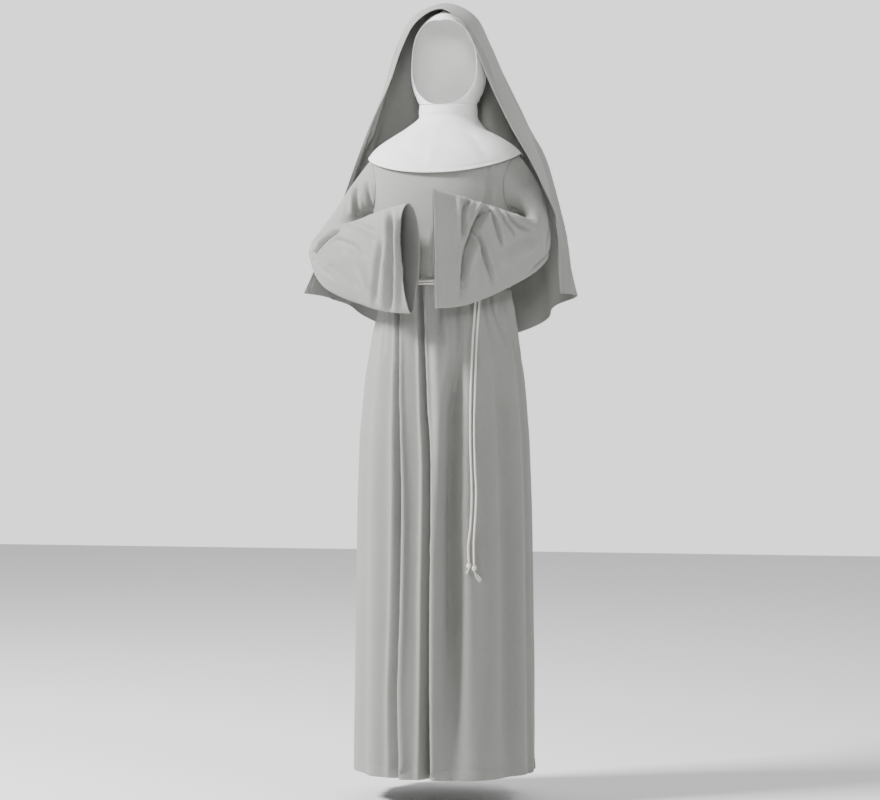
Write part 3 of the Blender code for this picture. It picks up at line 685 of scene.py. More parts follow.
NECKLINE_HEIGHT = 0.045
WAIST_HEIGHT = -0.306
HEM_HEIGHT = -1.368


def fold_offset(angle, height):
    """How far the skirt's deep folds move the cloth out or in."""
    share = np.clip((WAIST_HEIGHT - height) / (WAIST_HEIGHT - HEM_HEIGHT), 0.0, 1.0)
    above = np.clip(1.0 - np.maximum(0.0, height - WAIST_HEIGHT) / FOLD_FADE_HEIGHT, 0.0, 1.0)
    offset = 0.0
    for waist_angle, hem_angle, waist_depth, hem_depth, half_angle in SKIRT_FOLDS:
        centre = waist_angle + (hem_angle - waist_angle) * share
        depth = waist_depth + (hem_depth - waist_depth) * share ** FOLD_GROWTH_POWER
        turn = (angle - centre + 180.0) % 360.0 - 180.0
        offset = offset + depth * above * (
            FOLD_LIP_SHARE * bump((np.abs(turn) - FOLD_LIP_PLACE * half_angle) / half_angle)
            - TROUGH_SHARE * bump(turn / half_angle))
    return offset


def robe_point(angle, height, proud=0.0):
    """Points of the robe's cloth at angles from the front centre and heights."""
    angle, height = np.broadcast_arrays(np.asarray(angle, float), np.asarray(height, float))
    half_width, front, back = at_heights(ROBE_SECTIONS, height, ROUNDING_SPAN)
    sine = np.sin(np.radians(angle))
    cosine = np.cos(np.radians(angle))
    power = 2.0 / ROBE_ROUNDNESS
    depth = np.where(cosine > 0.0, front, back)
    x = half_width * signed_power(sine, power)
    y = -depth * signed_power(cosine, power)
    length = np.hypot(x, y)
    grow = (length + proud + fold_offset(angle, height)) / length
    shift = SKIRT_SHIFT * np.clip((WAIST_HEIGHT - height) / SKIRT_SHIFT_DROP, 0.0, 1.0)
    return np.stack([x * grow - shift, y * grow, height + 0.0 * x], axis=-1)


# %% [markdown]
# The sharp creases between the folds are chalked on next. Those in front follow the way the cloth
# falls from the belt: two deep pleats on the wearer's right, one broad trough near the middle,
# and soft gathers that fan out under the knot. The back and sides get the same kinds of crease, at
# uneven places, because a gathered waist is never even.

# %% Creases of the robe
ROBE_CREASES = [
    # Two deep pleats on the wearer's right, and the soft swell of the cloth beside the second.
    Crease(12, 0.030, 0.0048, [(-0.101, -0.290), (-0.107, -0.559), (-0.105, -0.773),
                               (-0.109, -0.987), (-0.114, -1.201), (-0.110, -1.420)], 0.06, 2.3),
    Crease(12, 0.034, 0.0046, [(-0.054, -0.290), (-0.047, -0.559), (-0.041, -0.666),
                               (-0.039, -0.773), (-0.041, -0.987), (-0.044, -1.307),
                               (-0.044, -1.430)], 0.06, 2.0),
    Crease(12, -0.0070, 0.0100, [(-0.026, -0.370), (-0.020, -0.559), (-0.020, -0.773),
                                 (-0.023, -0.987), (-0.026, -1.430)], 0.15, 1.2),
    # Short gathers under the belt, a broad trough near the middle and one on the wearer's left.
    Crease(12, 0.0050, 0.0050, [(-0.009, -0.300), (-0.009, -0.371), (-0.008, -0.450)]),
    Crease(12, 0.0060, 0.0055, [(0.027, -0.300), (0.030, -0.420), (0.028, -0.560)]),
    Crease(12, 0.0300, 0.0130, [(0.026, -0.440), (0.019, -0.580), (0.014, -0.773),
                                (0.014, -0.987), (0.014, -1.420)], 0.25, 1.5),
    Crease(12, 0.0060, 0.0050, [(0.074, -0.300), (0.090, -0.390), (0.109, -0.470)]),
    Crease(12, 0.0060, 0.0055, [(0.090, -0.300), (0.110, -0.385), (0.150, -0.460)]),
    Crease(12, 0.0120, 0.0200, [(0.108, -0.420), (0.124, -0.666), (0.132, -0.987),
                                (0.132, -1.420)], 0.2, 1.2),
    Crease(12, 0.0035, 0.0050, [(0.056, -0.300), (0.060, -0.390), (0.064, -0.480)]),
    Crease(12, 0.0030, 0.0060, [(-0.130, -0.300), (-0.134, -0.380), (-0.136, -0.470)]),
    # The bodice.
    Crease(12, 0.0060, 0.0080, [(0.096, -0.040), (0.096, -0.108), (0.088, -0.170)]),
    Crease(12, 0.0040, 0.0060, [(0.130, -0.080), (0.146, -0.060), (0.162, -0.044)]),
    Crease(12, 0.0040, 0.0060, [(0.020, -0.200), (0.024, -0.300)]),
    Crease(12, 0.0040, 0.0060, [(0.052, -0.195), (0.046, -0.300)]),
    Crease(12, 0.0045, 0.0070, [(-0.020, -0.190), (-0.030, -0.300)]),
    # The wearer's left side.
    Crease(100, 0.0050, 0.0080, [(-0.060, -0.300), (-0.062, -0.700), (-0.070, -1.420)], 0.1, 1.8),
    Crease(100, 0.0110, 0.0065, [(0.026, -0.300), (0.042, -0.620), (0.048, -1.420)], 0.1, 1.9),
    Crease(100, 0.0050, 0.0055, [(-0.014, -0.300), (-0.012, -0.480)]),
    Crease(100, -0.0060, 0.0090, [(-0.015, -0.450), (-0.018, -1.420)]),
    Crease(100, 0.0045, 0.0050, [(0.062, -0.300), (0.072, -0.430)]),
    # The wearer's right side.
    Crease(262, 0.0140, 0.0070, [(0.046, -0.300), (0.052, -0.720), (0.062, -1.420)], 0.1, 1.8),
    Crease(262, 0.0110, 0.0060, [(-0.026, -0.300), (-0.040, -0.660), (-0.036, -1.420)], 0.1, 2.0),
    Crease(262, 0.0050, 0.0055, [(0.012, -0.300), (0.008, -0.450)]),
    Crease(262, -0.0050, 0.0080, [(0.016, -0.480), (0.014, -1.420)]),
    # The back.
    Crease(180, 0.0190, 0.0058, [(-0.098, -0.290), (-0.106, -0.640), (-0.114, -1.420)], 0.07, 2.0),
    Crease(180, 0.0130, 0.0056, [(-0.052, -0.290), (-0.060, -0.620), (-0.056, -1.420)], 0.08, 1.6),
    Crease(180, 0.0200, 0.0056, [(-0.008, -0.290), (-0.004, -0.700), (0.004, -1.420)], 0.06, 2.1),
    Crease(180, 0.0120, 0.0060, [(0.044, -0.290), (0.052, -0.680), (0.060, -1.420)], 0.1, 1.5),
    Crease(180, 0.0180, 0.0056, [(0.094, -0.290), (0.104, -0.640), (0.112, -1.420)], 0.07, 2.0),
    Crease(180, -0.0060, 0.0075, [(-0.030, -0.380), (-0.032, -0.800), (-0.028, -1.420)]),
    Crease(180, -0.0050, 0.0085, [(0.074, -0.380), (0.080, -0.760), (0.086, -1.420)]),
    Crease(180, 0.0050, 0.0050, [(-0.076, -0.300), (-0.080, -0.450)]),
    Crease(180, 0.0045, 0.0050, [(-0.030, -0.300), (-0.030, -0.400)]),
    Crease(180, 0.0050, 0.0050, [(0.020, -0.300), (0.024, -0.430)]),
    Crease(180, 0.0045, 0.0050, [(0.068, -0.300), (0.072, -0.480)]),
    Crease(180, 0.0050, 0.0080, [(-0.066, -0.160), (-0.044, -0.300)]),
    Crease(180, 0.0050, 0.0080, [(0.056, -0.150), (0.034, -0.300)]),
]


# %% Front and back panels
SIDE_SEAM_SLIT = 0.0006
SEAM_CALM = 0.024
HEM_DEPTH = 0.025
GROOVE_WIDTH = 0.0025
GROOVE_DEPTH = 0.0008
# This row lies about 11 mm below the belt, and the waist is measured along it.
WAIST_ROW = 80


def robe_rows():
    """Row heights, hem to neck, and the armhole's spread at each."""
    # The rows crowd together at the hem's edge and at its groove.
    hem = HEM_HEIGHT + np.array([0.0, 0.0015, 0.004, 0.008, 0.013, 0.018, 0.0225, 0.025, 0.0275])
    skirt = np.linspace(HEM_HEIGHT + 0.034, -0.345, 66)
    waist = np.linspace(-0.340, ARMPIT_HEIGHT - 0.004, 40)
    heights = list(hem) + list(skirt) + list(waist)
    rows = [(height, 0.0) for height in heights]
    middle = (SHOULDER_HEIGHT + ARMPIT_HEIGHT) * 0.5
    half = (SHOULDER_HEIGHT - ARMPIT_HEIGHT) * 0.5
    for turn in np.radians(np.linspace(-90.0, 90.0, 33)):
        rows.append((middle + half * math.sin(turn), ARMHOLE_SPREAD * math.cos(turn)))
    rows += [(height, 0.0) for height in np.linspace(-0.022, NECKLINE_HEIGHT, 10)]
    return np.array(rows)


def robe_normals(angle, height):
    """Outward directions of the robe's cloth, from its neighbours' places."""
    beside = robe_point(angle + 0.5, height) - robe_point(angle - 0.5, height)
    above = robe_point(angle, height + 0.002) - robe_point(angle, height - 0.002)
    normals = np.cross(beside, above)
    return normals / np.linalg.norm(normals, axis=2, keepdims=True)


def robe_panel(name, middle_angle, columns):
    """One panel of the robe, from side seam to side seam round a middle angle."""
    rows = robe_rows()
    half = 90.0 - rows[:, 1]
    shares = np.linspace(-1.0, 1.0, columns)
    angle = middle_angle + half[:, None] * shares[None, :]
    height = np.repeat(rows[:, :1], columns, axis=1)
    grid = robe_point(angle, height)
    normals = robe_normals(angle, height)
    # Creases die out towards the side seams, so the two panels still meet there.
    from_edge = np.minimum(np.linalg.norm(grid - grid[:, :1], axis=2),
                           np.linalg.norm(grid - grid[:, -1:], axis=2))
    share = np.clip(from_edge / SEAM_CALM, 0.0, 1.0)[..., None]
    pressed = press(grid, normals, ROBE_CREASES)
    grid = grid + (pressed - grid) * soft_share(share)
    # A hem is a doubled edge: a shallow groove marks its stitching.
    groove = bump((height - (HEM_HEIGHT + HEM_DEPTH)) / GROOVE_WIDTH) * GROOVE_DEPTH
    grid -= normals * groove[..., None]
    seam = SIDE_SEAM_SLIT * 0.5
    for edge, neighbour in ((0, 1), (-1, -2)):
        step = grid[:, neighbour] - grid[:, edge]
        step /= np.linalg.norm(step, axis=1, keepdims=True)
        grid[:, edge] += step * seam
    piece = make_sheet(name + "_cloth", grid, grey_cloth)
    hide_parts(name)
    return piece, grid


robe_front, front_grid = robe_panel("robe_front", 0.0, 270)
robe_back, back_grid = robe_panel("robe_back", 180.0, 210)
stitches("hem_stitches", [line_on(panel, False, HEM_DEPTH) for panel in (front_grid, back_grid)],
         grey_thread)
for name, grid in (("front", front_grid), ("back", back_grid)):
    print(name, "panel: hem", round(row_length(grid, 0), 3), "m, waist",
          round(row_length(grid, WAIST_ROW), 3), "m")

# %% [markdown]
# ## The belt
#
# Two turns of the same cord lie round the waist, one above the other, and meet in a knot to the
# wearer's left of the centre. The knot is a little over two and a half turns of cord wound round a
# short core, because a plain lump would not show the cord's turns.

# %% Belt strands and waist knot
BELT_CLEARANCE = 0.0082
BELT_STRAND_OFFSET = 0.0029
KNOT_ANGLE = 39.8
KNOT_HALF_ANGLE = 6.9


def belt_route(height):
    """One turn round the waist at a height, from one side of the knot to the other."""
    angle = KNOT_ANGLE + KNOT_HALF_ANGLE + np.linspace(0.0, 360.0 - 2.0 * KNOT_HALF_ANGLE, 200)
    half_width, front, back = at_heights(ROBE_SECTIONS, np.array(WAIST_HEIGHT),
                                         ROUNDING_SPAN)
    sine = np.sin(np.radians(angle))
    cosine = np.cos(np.radians(angle))
    power = 2.0 / ROBE_ROUNDNESS
    x = half_width * signed_power(sine, power)
    y = -np.where(cosine > 0.0, front, back) * signed_power(cosine, power)
    length = np.hypot(x, y)
    grow = (length + BELT_CLEARANCE) / length
    return np.stack([x * grow, y * grow, height + 0.0 * x], axis=-1)


for name, offset in (("belt_strand_upper", BELT_STRAND_OFFSET),
                     ("belt_strand_lower", -BELT_STRAND_OFFSET)):
    strand, line = make_rope(name + "_rope", [belt_route(WAIST_HEIGHT + offset)])
    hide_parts(name)
    print(name, round(route_length(line), 3), "m")

KNOT_START = np.array([0.0845, -0.1085, -0.3062])
KNOT_END = np.array([0.0975, -0.1050, -0.3062])
WRAP_TURNS = 2.6
WRAP_DEPTH = 0.0062
WRAP_HEIGHT = 0.0068
turn = np.linspace(0.0, 2.0 * math.pi * WRAP_TURNS, 90)
share = turn / turn[-1]
axis = KNOT_START + (KNOT_END - KNOT_START) * share[:, None]
wrap = axis + np.stack(
    [0.0 * turn, -WRAP_DEPTH * np.cos(turn), WRAP_HEIGHT * np.sin(turn)], axis=1)
core = between([KNOT_START + (-0.003, 0.0, 0.001), (KNOT_START + KNOT_END) * 0.5,
                KNOT_END + (0.002, 0.001, 0.001)], np.linspace(0.0, 2.0, 30))
waist_knot, line = make_rope("waist_knot_rope", [wrap, core])
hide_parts("waist_knot")

# %% [markdown]
# ## The sleeves
#
# The sleeves are wide bells that hang from the shoulder over a bent elbow, with the cuffs brought
# together in front. Each ring of a sleeve runs from its outer line, over the shoulder, elbow and
# lowest edge, to its inner line, over the armpit, the crook of the arm and the wrist. The rings
# are made as coarse as the CAD's and then filled in smoothly, so both keep the same form.

# %% Sleeve tables and rings
RIGHT_SLEEVE = [
    # outer xyz, inner xyz, facing, half width, swell
    (-0.203, 0.006, -0.054, -0.170, 0.000, -0.160, 0.0, 0.066, 0.00),
    (-0.229, 0.008, -0.109, -0.177, -0.012, -0.172, -4.0, 0.062, 0.00),
    (-0.264, 0.010, -0.162, -0.179, -0.045, -0.178, -12.0, 0.060, 0.05),
    (-0.293, 0.010, -0.210, -0.174, -0.085, -0.177, -26.0, 0.058, 0.15),
    (-0.298, 0.004, -0.258, -0.160, -0.118, -0.173, -36.0, 0.056, 0.25),
    (-0.270, -0.030, -0.304, -0.136, -0.147, -0.167, -42.0, 0.052, 0.30),
    (-0.222, -0.078, -0.331, -0.110, -0.172, -0.160, -44.0, 0.047, 0.30),
    (-0.160, -0.127, -0.352, -0.085, -0.195, -0.154, -44.0, 0.041, 0.30),
    (-0.098, -0.172, -0.370, -0.058, -0.219, -0.149, -44.0, 0.034, 0.30),
    (-0.030, -0.214, -0.376, -0.029, -0.244, -0.147, -42.0, 0.025, 0.30),
]
LEFT_SLEEVE = [
    (0.206, 0.006, -0.062, 0.172, 0.000, -0.162, 0.0, 0.062, 0.00),
    (0.229, 0.008, -0.134, 0.182, -0.030, -0.172, 12.0, 0.054, 0.00),
    (0.233, 0.004, -0.206, 0.180, -0.076, -0.168, 31.0, 0.049, 0.10),
    (0.222, -0.025, -0.258, 0.156, -0.127, -0.158, 45.0, 0.044, 0.25),
    (0.194, -0.068, -0.293, 0.132, -0.157, -0.150, 48.0, 0.041, 0.30),
    (0.158, -0.108, -0.318, 0.106, -0.184, -0.142, 45.0, 0.038, 0.30),
    (0.115, -0.150, -0.343, 0.078, -0.210, -0.132, 39.0, 0.034, 0.30),
    (0.070, -0.192, -0.361, 0.052, -0.237, -0.124, 29.0, 0.030, 0.30),
    (0.026, -0.228, -0.366, 0.026, -0.262, -0.117, 16.0, 0.026, 0.30),
]
ARMHOLE_STEPS = 8
SLEEVE_BANDS = 15
EASED_RINGS = 5
EASING_PASSES = 5
EASING_ALONG = 0.7
EASING_STRENGTH = 0.5
SEAM_LAP = 0.005
ROBE_RADIUS = 0.15
SLEEVE_OUTSET = 0.0006
SLEEVE_PROUD = 0.0018
LAP_PROUD = 0.0015


def armhole_ring(side, lap=0.0, proud=SLEEVE_PROUD):
    """The armhole as a ring of points, widened over the robe by a lap."""
    ring = []
    middle = (SHOULDER_HEIGHT + ARMPIT_HEIGHT) * 0.5
    half = (SHOULDER_HEIGHT - ARMPIT_HEIGHT) * 0.5 + lap
    for step in range(2 * ARMHOLE_STEPS):
        share_up = step / ARMHOLE_STEPS if step <= ARMHOLE_STEPS else 2.0 - step / ARMHOLE_STEPS
        turn = math.radians(-90.0 + 180.0 * share_up)
        spread = (ARMHOLE_SPREAD + math.degrees(lap / ROBE_RADIUS)) * math.cos(turn)
        angle = 90.0 - spread if step <= ARMHOLE_STEPS else 90.0 + spread
        point = robe_point(side * angle, middle + half * math.sin(turn), proud)
        ring.append(point + (side * SLEEVE_OUTSET, 0.0, 0.0))
    return np.array(ring)


def sleeve_ring(row, columns):
    """One ring of a sleeve from a row of its table."""
    outer, inner = row[0:3], row[3:6]
    facing, half_width, swell = math.radians(row[6]), row[7], row[8]
    front = np.array([math.sin(facing), -math.cos(facing), 0.0])
    turn = np.radians(-90.0 + 360.0 * np.arange(columns) / columns)
    side = np.outer(half_width * np.cos(turn) * (1.0 - swell * np.sin(turn)), front)
    return (outer + inner) * 0.5 + np.outer(np.sin(turn), (outer - inner) * 0.5) + side


def fill_in(grid, rows, columns):
    """A coarse closed grid filled in smoothly to a finer one."""
    across = grid.shape[1]
    wrapped = np.concatenate([grid[:, -1:], grid, grid[:, :2]], axis=1)
    places = 1.0 + np.arange(columns) * across / columns
    finer = np.stack([between(row, places) for row in wrapped])
    down = np.linspace(0.0, len(grid) - 1.0, rows)
    return np.stack([between(finer[:, column], down) for column in range(columns)], axis=1)


def ease_rings(rings):
    """Draws the rings near the armhole towards their neighbours, as the CAD does."""
    for _ in range(EASING_PASSES):
        eased = rings.copy()
        along = (rings[:-2] + rings[2:]) * 0.5
        around = (np.roll(rings, 1, axis=1) + np.roll(rings, -1, axis=1))[1:-1] * 0.5
        middle = around + (along - around) * EASING_ALONG
        part = slice(1, EASED_RINGS + 1)
        eased[part] += (middle[:EASED_RINGS] - rings[part]) * EASING_STRENGTH
        rings = eased
    return rings


def sleeve_grid(table, side, rows, columns):
    """A whole sleeve from the armhole's lap to the cuff."""
    table = np.array(table)
    rings = [armhole_ring(side)]
    for band in range(SLEEVE_BANDS):
        place = band / (SLEEVE_BANDS - 1) * (len(table) - 1)
        rings.append(sleeve_ring(between(table, np.array(place)), 2 * ARMHOLE_STEPS))
    rings = ease_rings(np.array(rings))
    lap = armhole_ring(side, lap=SEAM_LAP, proud=LAP_PROUD)
    return fill_in(np.concatenate([lap[None], rings]), rows, columns)


# %% [markdown]
# The right sleeve breaks into short creases at the elbow and one long trough where it hangs from
# the wrist. The left sleeve, seen more from the side, carries four deep folds that run down between
# the crook of the arm and the cuff.

# %% Creases of the sleeves
RIGHT_SLEEVE_CREASES = [
    Crease(12, 0.0100, 0.0045, [(-0.300, -0.212), (-0.270, -0.196), (-0.241, -0.187),
                                (-0.200, -0.182)], 0.2),
    Crease(12, 0.0090, 0.0048, [(-0.300, -0.262), (-0.282, -0.232), (-0.251, -0.206),
                                (-0.218, -0.190)], 0.25),
    Crease(12, -0.0050, 0.0060, [(-0.290, -0.226), (-0.255, -0.197), (-0.220, -0.186)], 0.3),
    Crease(12, 0.0210, 0.0068, [(-0.121, -0.150), (-0.117, -0.221), (-0.119, -0.274),
                                (-0.123, -0.390)], 0.2, 1.3),
    Crease(12, -0.0060, 0.0055, [(-0.104, -0.160), (-0.102, -0.240), (-0.106, -0.380)], 0.2),
    Crease(12, 0.0060, 0.0045, [(-0.096, -0.175), (-0.088, -0.244), (-0.088, -0.310)]),
    Crease(12, 0.0080, 0.0075, [(-0.134, -0.215), (-0.147, -0.290), (-0.155, -0.370)], 0.3),
    Crease(12, 0.0060, 0.0040, [(-0.218, -0.176), (-0.180, -0.200), (-0.148, -0.228)]),
    Crease(12, 0.0050, 0.0040, [(-0.200, -0.176), (-0.172, -0.190), (-0.150, -0.205)]),
    Crease(12, 0.0060, 0.0055, [(-0.248, -0.212), (-0.205, -0.226), (-0.165, -0.264)]),
    Crease(12, 0.0070, 0.0055, [(-0.194, -0.075), (-0.196, -0.130), (-0.190, -0.172)]),
    Crease(12, -0.0050, 0.0060, [(-0.207, -0.085), (-0.208, -0.160)]),
    Crease(12, 0.0080, 0.0050, [(-0.176, -0.078), (-0.166, -0.126), (-0.156, -0.172)]),
    Crease(12, 0.0045, 0.0110, [(-0.256, -0.262), (-0.222, -0.292), (-0.186, -0.330)]),
    Crease(12, -0.0045, 0.0110, [(-0.225, -0.240), (-0.190, -0.270), (-0.165, -0.330)]),
    Crease(270, 0.0100, 0.0070, [(0.020, -0.150), (0.040, -0.215), (0.090, -0.250)]),
    Crease(270, 0.0100, 0.0065, [(0.010, -0.190), (0.060, -0.245), (0.120, -0.300)]),
    Crease(270, 0.0080, 0.0060, [(-0.020, -0.070), (-0.018, -0.170)]),
    Crease(180, 0.0100, 0.0075, [(0.200, -0.110), (0.230, -0.190), (0.235, -0.260)]),
    Crease(180, 0.0090, 0.0065, [(0.285, -0.185), (0.235, -0.212), (0.180, -0.205)]),
    Crease(180, 0.0080, 0.0075, [(0.265, -0.285), (0.215, -0.262), (0.170, -0.250)]),
]
LEFT_SLEEVE_CREASES = [
    Crease(12, 0.0260, 0.0066, [(0.094, -0.132), (0.084, -0.155), (0.072, -0.176),
                                (0.060, -0.204), (0.050, -0.234), (0.042, -0.268),
                                (0.038, -0.300), (0.040, -0.360)], 0.2, 1.5),
    Crease(12, 0.0190, 0.0060, [(0.056, -0.188), (0.072, -0.226), (0.084, -0.258),
                                (0.104, -0.318)], 0.25),
    Crease(12, 0.0150, 0.0048, [(0.050, -0.132), (0.037, -0.166), (0.036, -0.222)], 0.25),
    Crease(12, 0.0150, 0.0050, [(0.086, -0.140), (0.104, -0.184), (0.120, -0.236)], 0.25),
    Crease(12, 0.0080, 0.0042, [(0.110, -0.146), (0.124, -0.180), (0.150, -0.214)], 0.25),
    Crease(12, -0.0060, 0.0050, [(0.026, -0.128), (0.026, -0.221), (0.027, -0.345)], 0.15),
    Crease(12, -0.0070, 0.0100, [(0.108, -0.280), (0.155, -0.250), (0.205, -0.220)], 0.3),
    Crease(12, 0.0050, 0.0090, [(0.118, -0.250), (0.160, -0.226), (0.200, -0.200)], 0.3),
    Crease(12, 0.0080, 0.0055, [(0.140, -0.140), (0.156, -0.160), (0.196, -0.178)], 0.35),
    Crease(12, 0.0050, 0.0060, [(0.188, -0.050), (0.182, -0.080), (0.172, -0.112)], 0.4),
    Crease(12, 0.0080, 0.0050, [(0.126, -0.160), (0.150, -0.188), (0.196, -0.202)], 0.3),
    Crease(12, -0.0050, 0.0070, [(0.062, -0.180), (0.066, -0.240), (0.066, -0.340)], 0.25),
    Crease(90, 0.0080, 0.0080, [(-0.018, -0.145), (-0.032, -0.190), (-0.080, -0.240)], 0.4),
    Crease(90, 0.0100, 0.0065, [(0.020, -0.180), (-0.020, -0.225), (-0.090, -0.290)]),
    Crease(90, 0.0080, 0.0060, [(0.020, -0.080), (0.015, -0.150)]),
    Crease(190, 0.0080, 0.0070, [(-0.215, -0.110), (-0.222, -0.170), (-0.205, -0.230)]),
]


SLEEVE_ROWS = 136
SLEEVE_COLUMNS = 172
CUFF_HEM = 0.007
CUFF_GROOVE_WIDTH = 0.0022
CUFF_GROOVE_DEPTH = 0.0007


def make_sleeve(name, table, side, creases):
    """One sleeve's sheet, creased, with a groove at its cuff's hem."""
    grid = sleeve_grid(table, side, SLEEVE_ROWS, SLEEVE_COLUMNS)
    normals = grid_normals(grid, closed=True)
    grid = press(grid, normals, creases)
    from_cuff = np.linalg.norm(grid - grid[-1:], axis=2)[..., None]
    grid -= normals * CUFF_GROOVE_DEPTH * bump((from_cuff - CUFF_HEM) / CUFF_GROOVE_WIDTH)
    piece = make_sheet(name + "_cloth", grid, grey_cloth, closed=True, flip=side < 0)
    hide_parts(name)
    print(name, "armhole", round(row_length(grid, 0, True), 3), "m, cuff",
          round(row_length(grid, -1, True), 3), "m")
    return piece, grid


sleeve_right, right_grid = make_sleeve("sleeve_right", RIGHT_SLEEVE, -1, RIGHT_SLEEVE_CREASES)
sleeve_left, left_grid = make_sleeve("sleeve_left", LEFT_SLEEVE, 1, LEFT_SLEEVE_CREASES)
stitches("cuff_stitches", [line_on(cuff, True, CUFF_HEM, from_end=True)
                           for cuff in (right_grid, left_grid)], grey_thread)

# %% [markdown]
# ## The collar
#
# The collar is a white yoke: a short standing band round the neck that turns over into a bib lying
# on the robe's shoulders. It is thick, smooth cloth, so it carries only shallow ripples and a
# rolled edge.

# %% Collar form
NECK_CENTRE = np.array([0.006, -0.004, 0.0])
NECK_HALF_WIDTH = 0.062
NECK_HALF_DEPTH = 0.060
NECK_SEAM_HEIGHT = 0.0908
NECK_SEAM_TILT = 0.12
BAND_SPREAD = 1.06
BAND_FOOT_HEIGHT = 0.058
BIB_SIDE_HEM = -0.024
BIB_FRONT_DROP = 0.050
BIB_BACK_DROP = 0.040
BIB_CLEARANCE = 0.0045
BIB_FLARE = 0.003


def neck_seam_point(angle):
    turn = np.radians(angle)
    x = NECK_CENTRE[0] + NECK_HALF_WIDTH * np.sin(turn)
    y = NECK_CENTRE[1] - NECK_HALF_DEPTH * np.cos(turn)
    return np.stack([x, y, NECK_SEAM_HEIGHT + NECK_SEAM_TILT * y], axis=-1)


COLLAR_COLUMNS = 240
COLLAR_ROWS = 72
BIB_BANDS = 6
BIB_LIFT = 0.0035
BIB_LIFT_LOST = 0.4
angle = np.arange(COLLAR_COLUMNS) * 360.0 / COLLAR_COLUMNS
top = neck_seam_point(angle)
foot = NECK_CENTRE + (top - NECK_CENTRE) * BAND_SPREAD
foot[:, 2] = BAND_FOOT_HEIGHT + 0.3 * NECK_SEAM_TILT * foot[:, 1]
cosine = np.cos(np.radians(angle))
drop = np.where(cosine > 0.0, BIB_FRONT_DROP, BIB_BACK_DROP)
hem = BIB_SIDE_HEM - drop * np.abs(cosine) ** 1.5
coarse = [top, (top + foot) * 0.5, foot]
for row in range(1, BIB_BANDS + 1):
    share = row / BIB_BANDS
    height = NECKLINE_HEIGHT + (hem - NECKLINE_HEIGHT) * share
    line = robe_point(angle, height, BIB_CLEARANCE + BIB_FLARE * share ** 2)
    line[:, 2] += BIB_LIFT * (1.0 - BIB_LIFT_LOST * share)
    coarse.append(line)
coarse = np.array(coarse)
collar_grid = np.stack([
    between(coarse[:, column], np.linspace(0.0, len(coarse) - 1.0, COLLAR_ROWS))
    for column in range(COLLAR_COLUMNS)],
    axis=1)

# %% Collar ripples and edge
COLLAR_CREASES = [
    Crease(12, 0.0016, 0.0120, [(-0.110, 0.000), (-0.070, -0.030), (-0.040, -0.050)]),
    Crease(12, 0.0014, 0.0110, [(0.030, 0.030), (0.070, -0.010), (0.090, -0.050)]),
    Crease(12, -0.0012, 0.0100, [(-0.020, 0.040), (-0.030, -0.010), (-0.035, -0.060)]),
    Crease(180, 0.0016, 0.0120, [(-0.080, 0.010), (-0.050, -0.030)]),
    Crease(180, 0.0014, 0.0120, [(0.080, 0.010), (0.050, -0.030)]),
]
normals = grid_normals(collar_grid, closed=True)
collar_grid = press(collar_grid, normals, COLLAR_CREASES)
share = np.linspace(0.0, 1.0, COLLAR_ROWS)[:, None, None]
# A rolled hem with its groove, and a faint roll at the neck.
collar_grid += normals * (0.0010 * bump((share - 0.985) / 0.02)
                           - 0.0007 * bump((share - 0.945) / 0.012)
                           + 0.0006 * bump((share - 0.02) / 0.02))
collar = make_sheet("collar_cloth", collar_grid, white_cloth, closed=True, flip=True,
                    thickness=0.0014)
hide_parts("collar")
COLLAR_HEM = 0.006
stitches("collar_stitches", [line_on(collar_grid, True, COLLAR_HEM, from_end=True)],
         white_thread)

# %% [markdown]
# ## The coif
#
# The coif is the white cap that frames the face and closes under the chin, with its opening bound
# in a narrow rolled edge. Its form is found by looking outwards from the middle of the head and
# asking where the head's sections are met, which keeps the cap smooth at the crown.

# %% Coif form
HEAD_SECTIONS = [
    # height, half width, front, back
    (0.070, 0.060, 0.064, 0.050),
    (0.092, 0.065, 0.072, 0.054),
    (0.115, 0.076, 0.084, 0.068),
    (0.145, 0.082, 0.094, 0.090),
    (0.180, 0.081, 0.100, 0.104),
    (0.215, 0.077, 0.102, 0.106),
    (0.245, 0.069, 0.100, 0.098),
    (0.270, 0.049, 0.086, 0.078),
    (0.286, 0.030, 0.058, 0.052),
    (0.295, 0.014, 0.028, 0.026),
    (0.299, 0.001, 0.001, 0.001),
]
HEAD_CENTRE = np.array([0.004, 0.010, 0.180])
FACE_HALF_WIDTH = 0.066
FACE_HALF_HEIGHT = 0.095
FACE_CENTRE_HEIGHT = 0.176
FACE_ROUNDNESS = 2.3
FACE_FRONT_DEPTH = 0.088
FACE_SIDE_SETBACK = 0.040
CHIN_HALF_ANGLE = 14.0
COIF_LIFT = 0.0016


def head_point(direction):
    """Where lines from the head's centre meet the head's form, by halving the distance."""
    near = np.zeros(direction.shape[:-1])
    far = near + 0.2
    for _ in range(24):
        middle = (near + far) * 0.5
        point = HEAD_CENTRE + direction * middle[..., None]
        half_width, front, back = at_heights(HEAD_SECTIONS, point[..., 2], ROUNDING_SPAN)
        depth = np.where(point[..., 1] < HEAD_CENTRE[1], front, back)
        across = (point[..., 0] - HEAD_CENTRE[0]) / half_width
        along = (point[..., 1] - HEAD_CENTRE[1]) / depth
        inside = (across ** 2 + along ** 2 < 1.0) & (point[..., 2] < HEAD_SECTIONS[-1][0])
        near = np.where(inside, middle, near)
        far = np.where(inside, far, middle)
    return HEAD_CENTRE + direction * near[..., None]


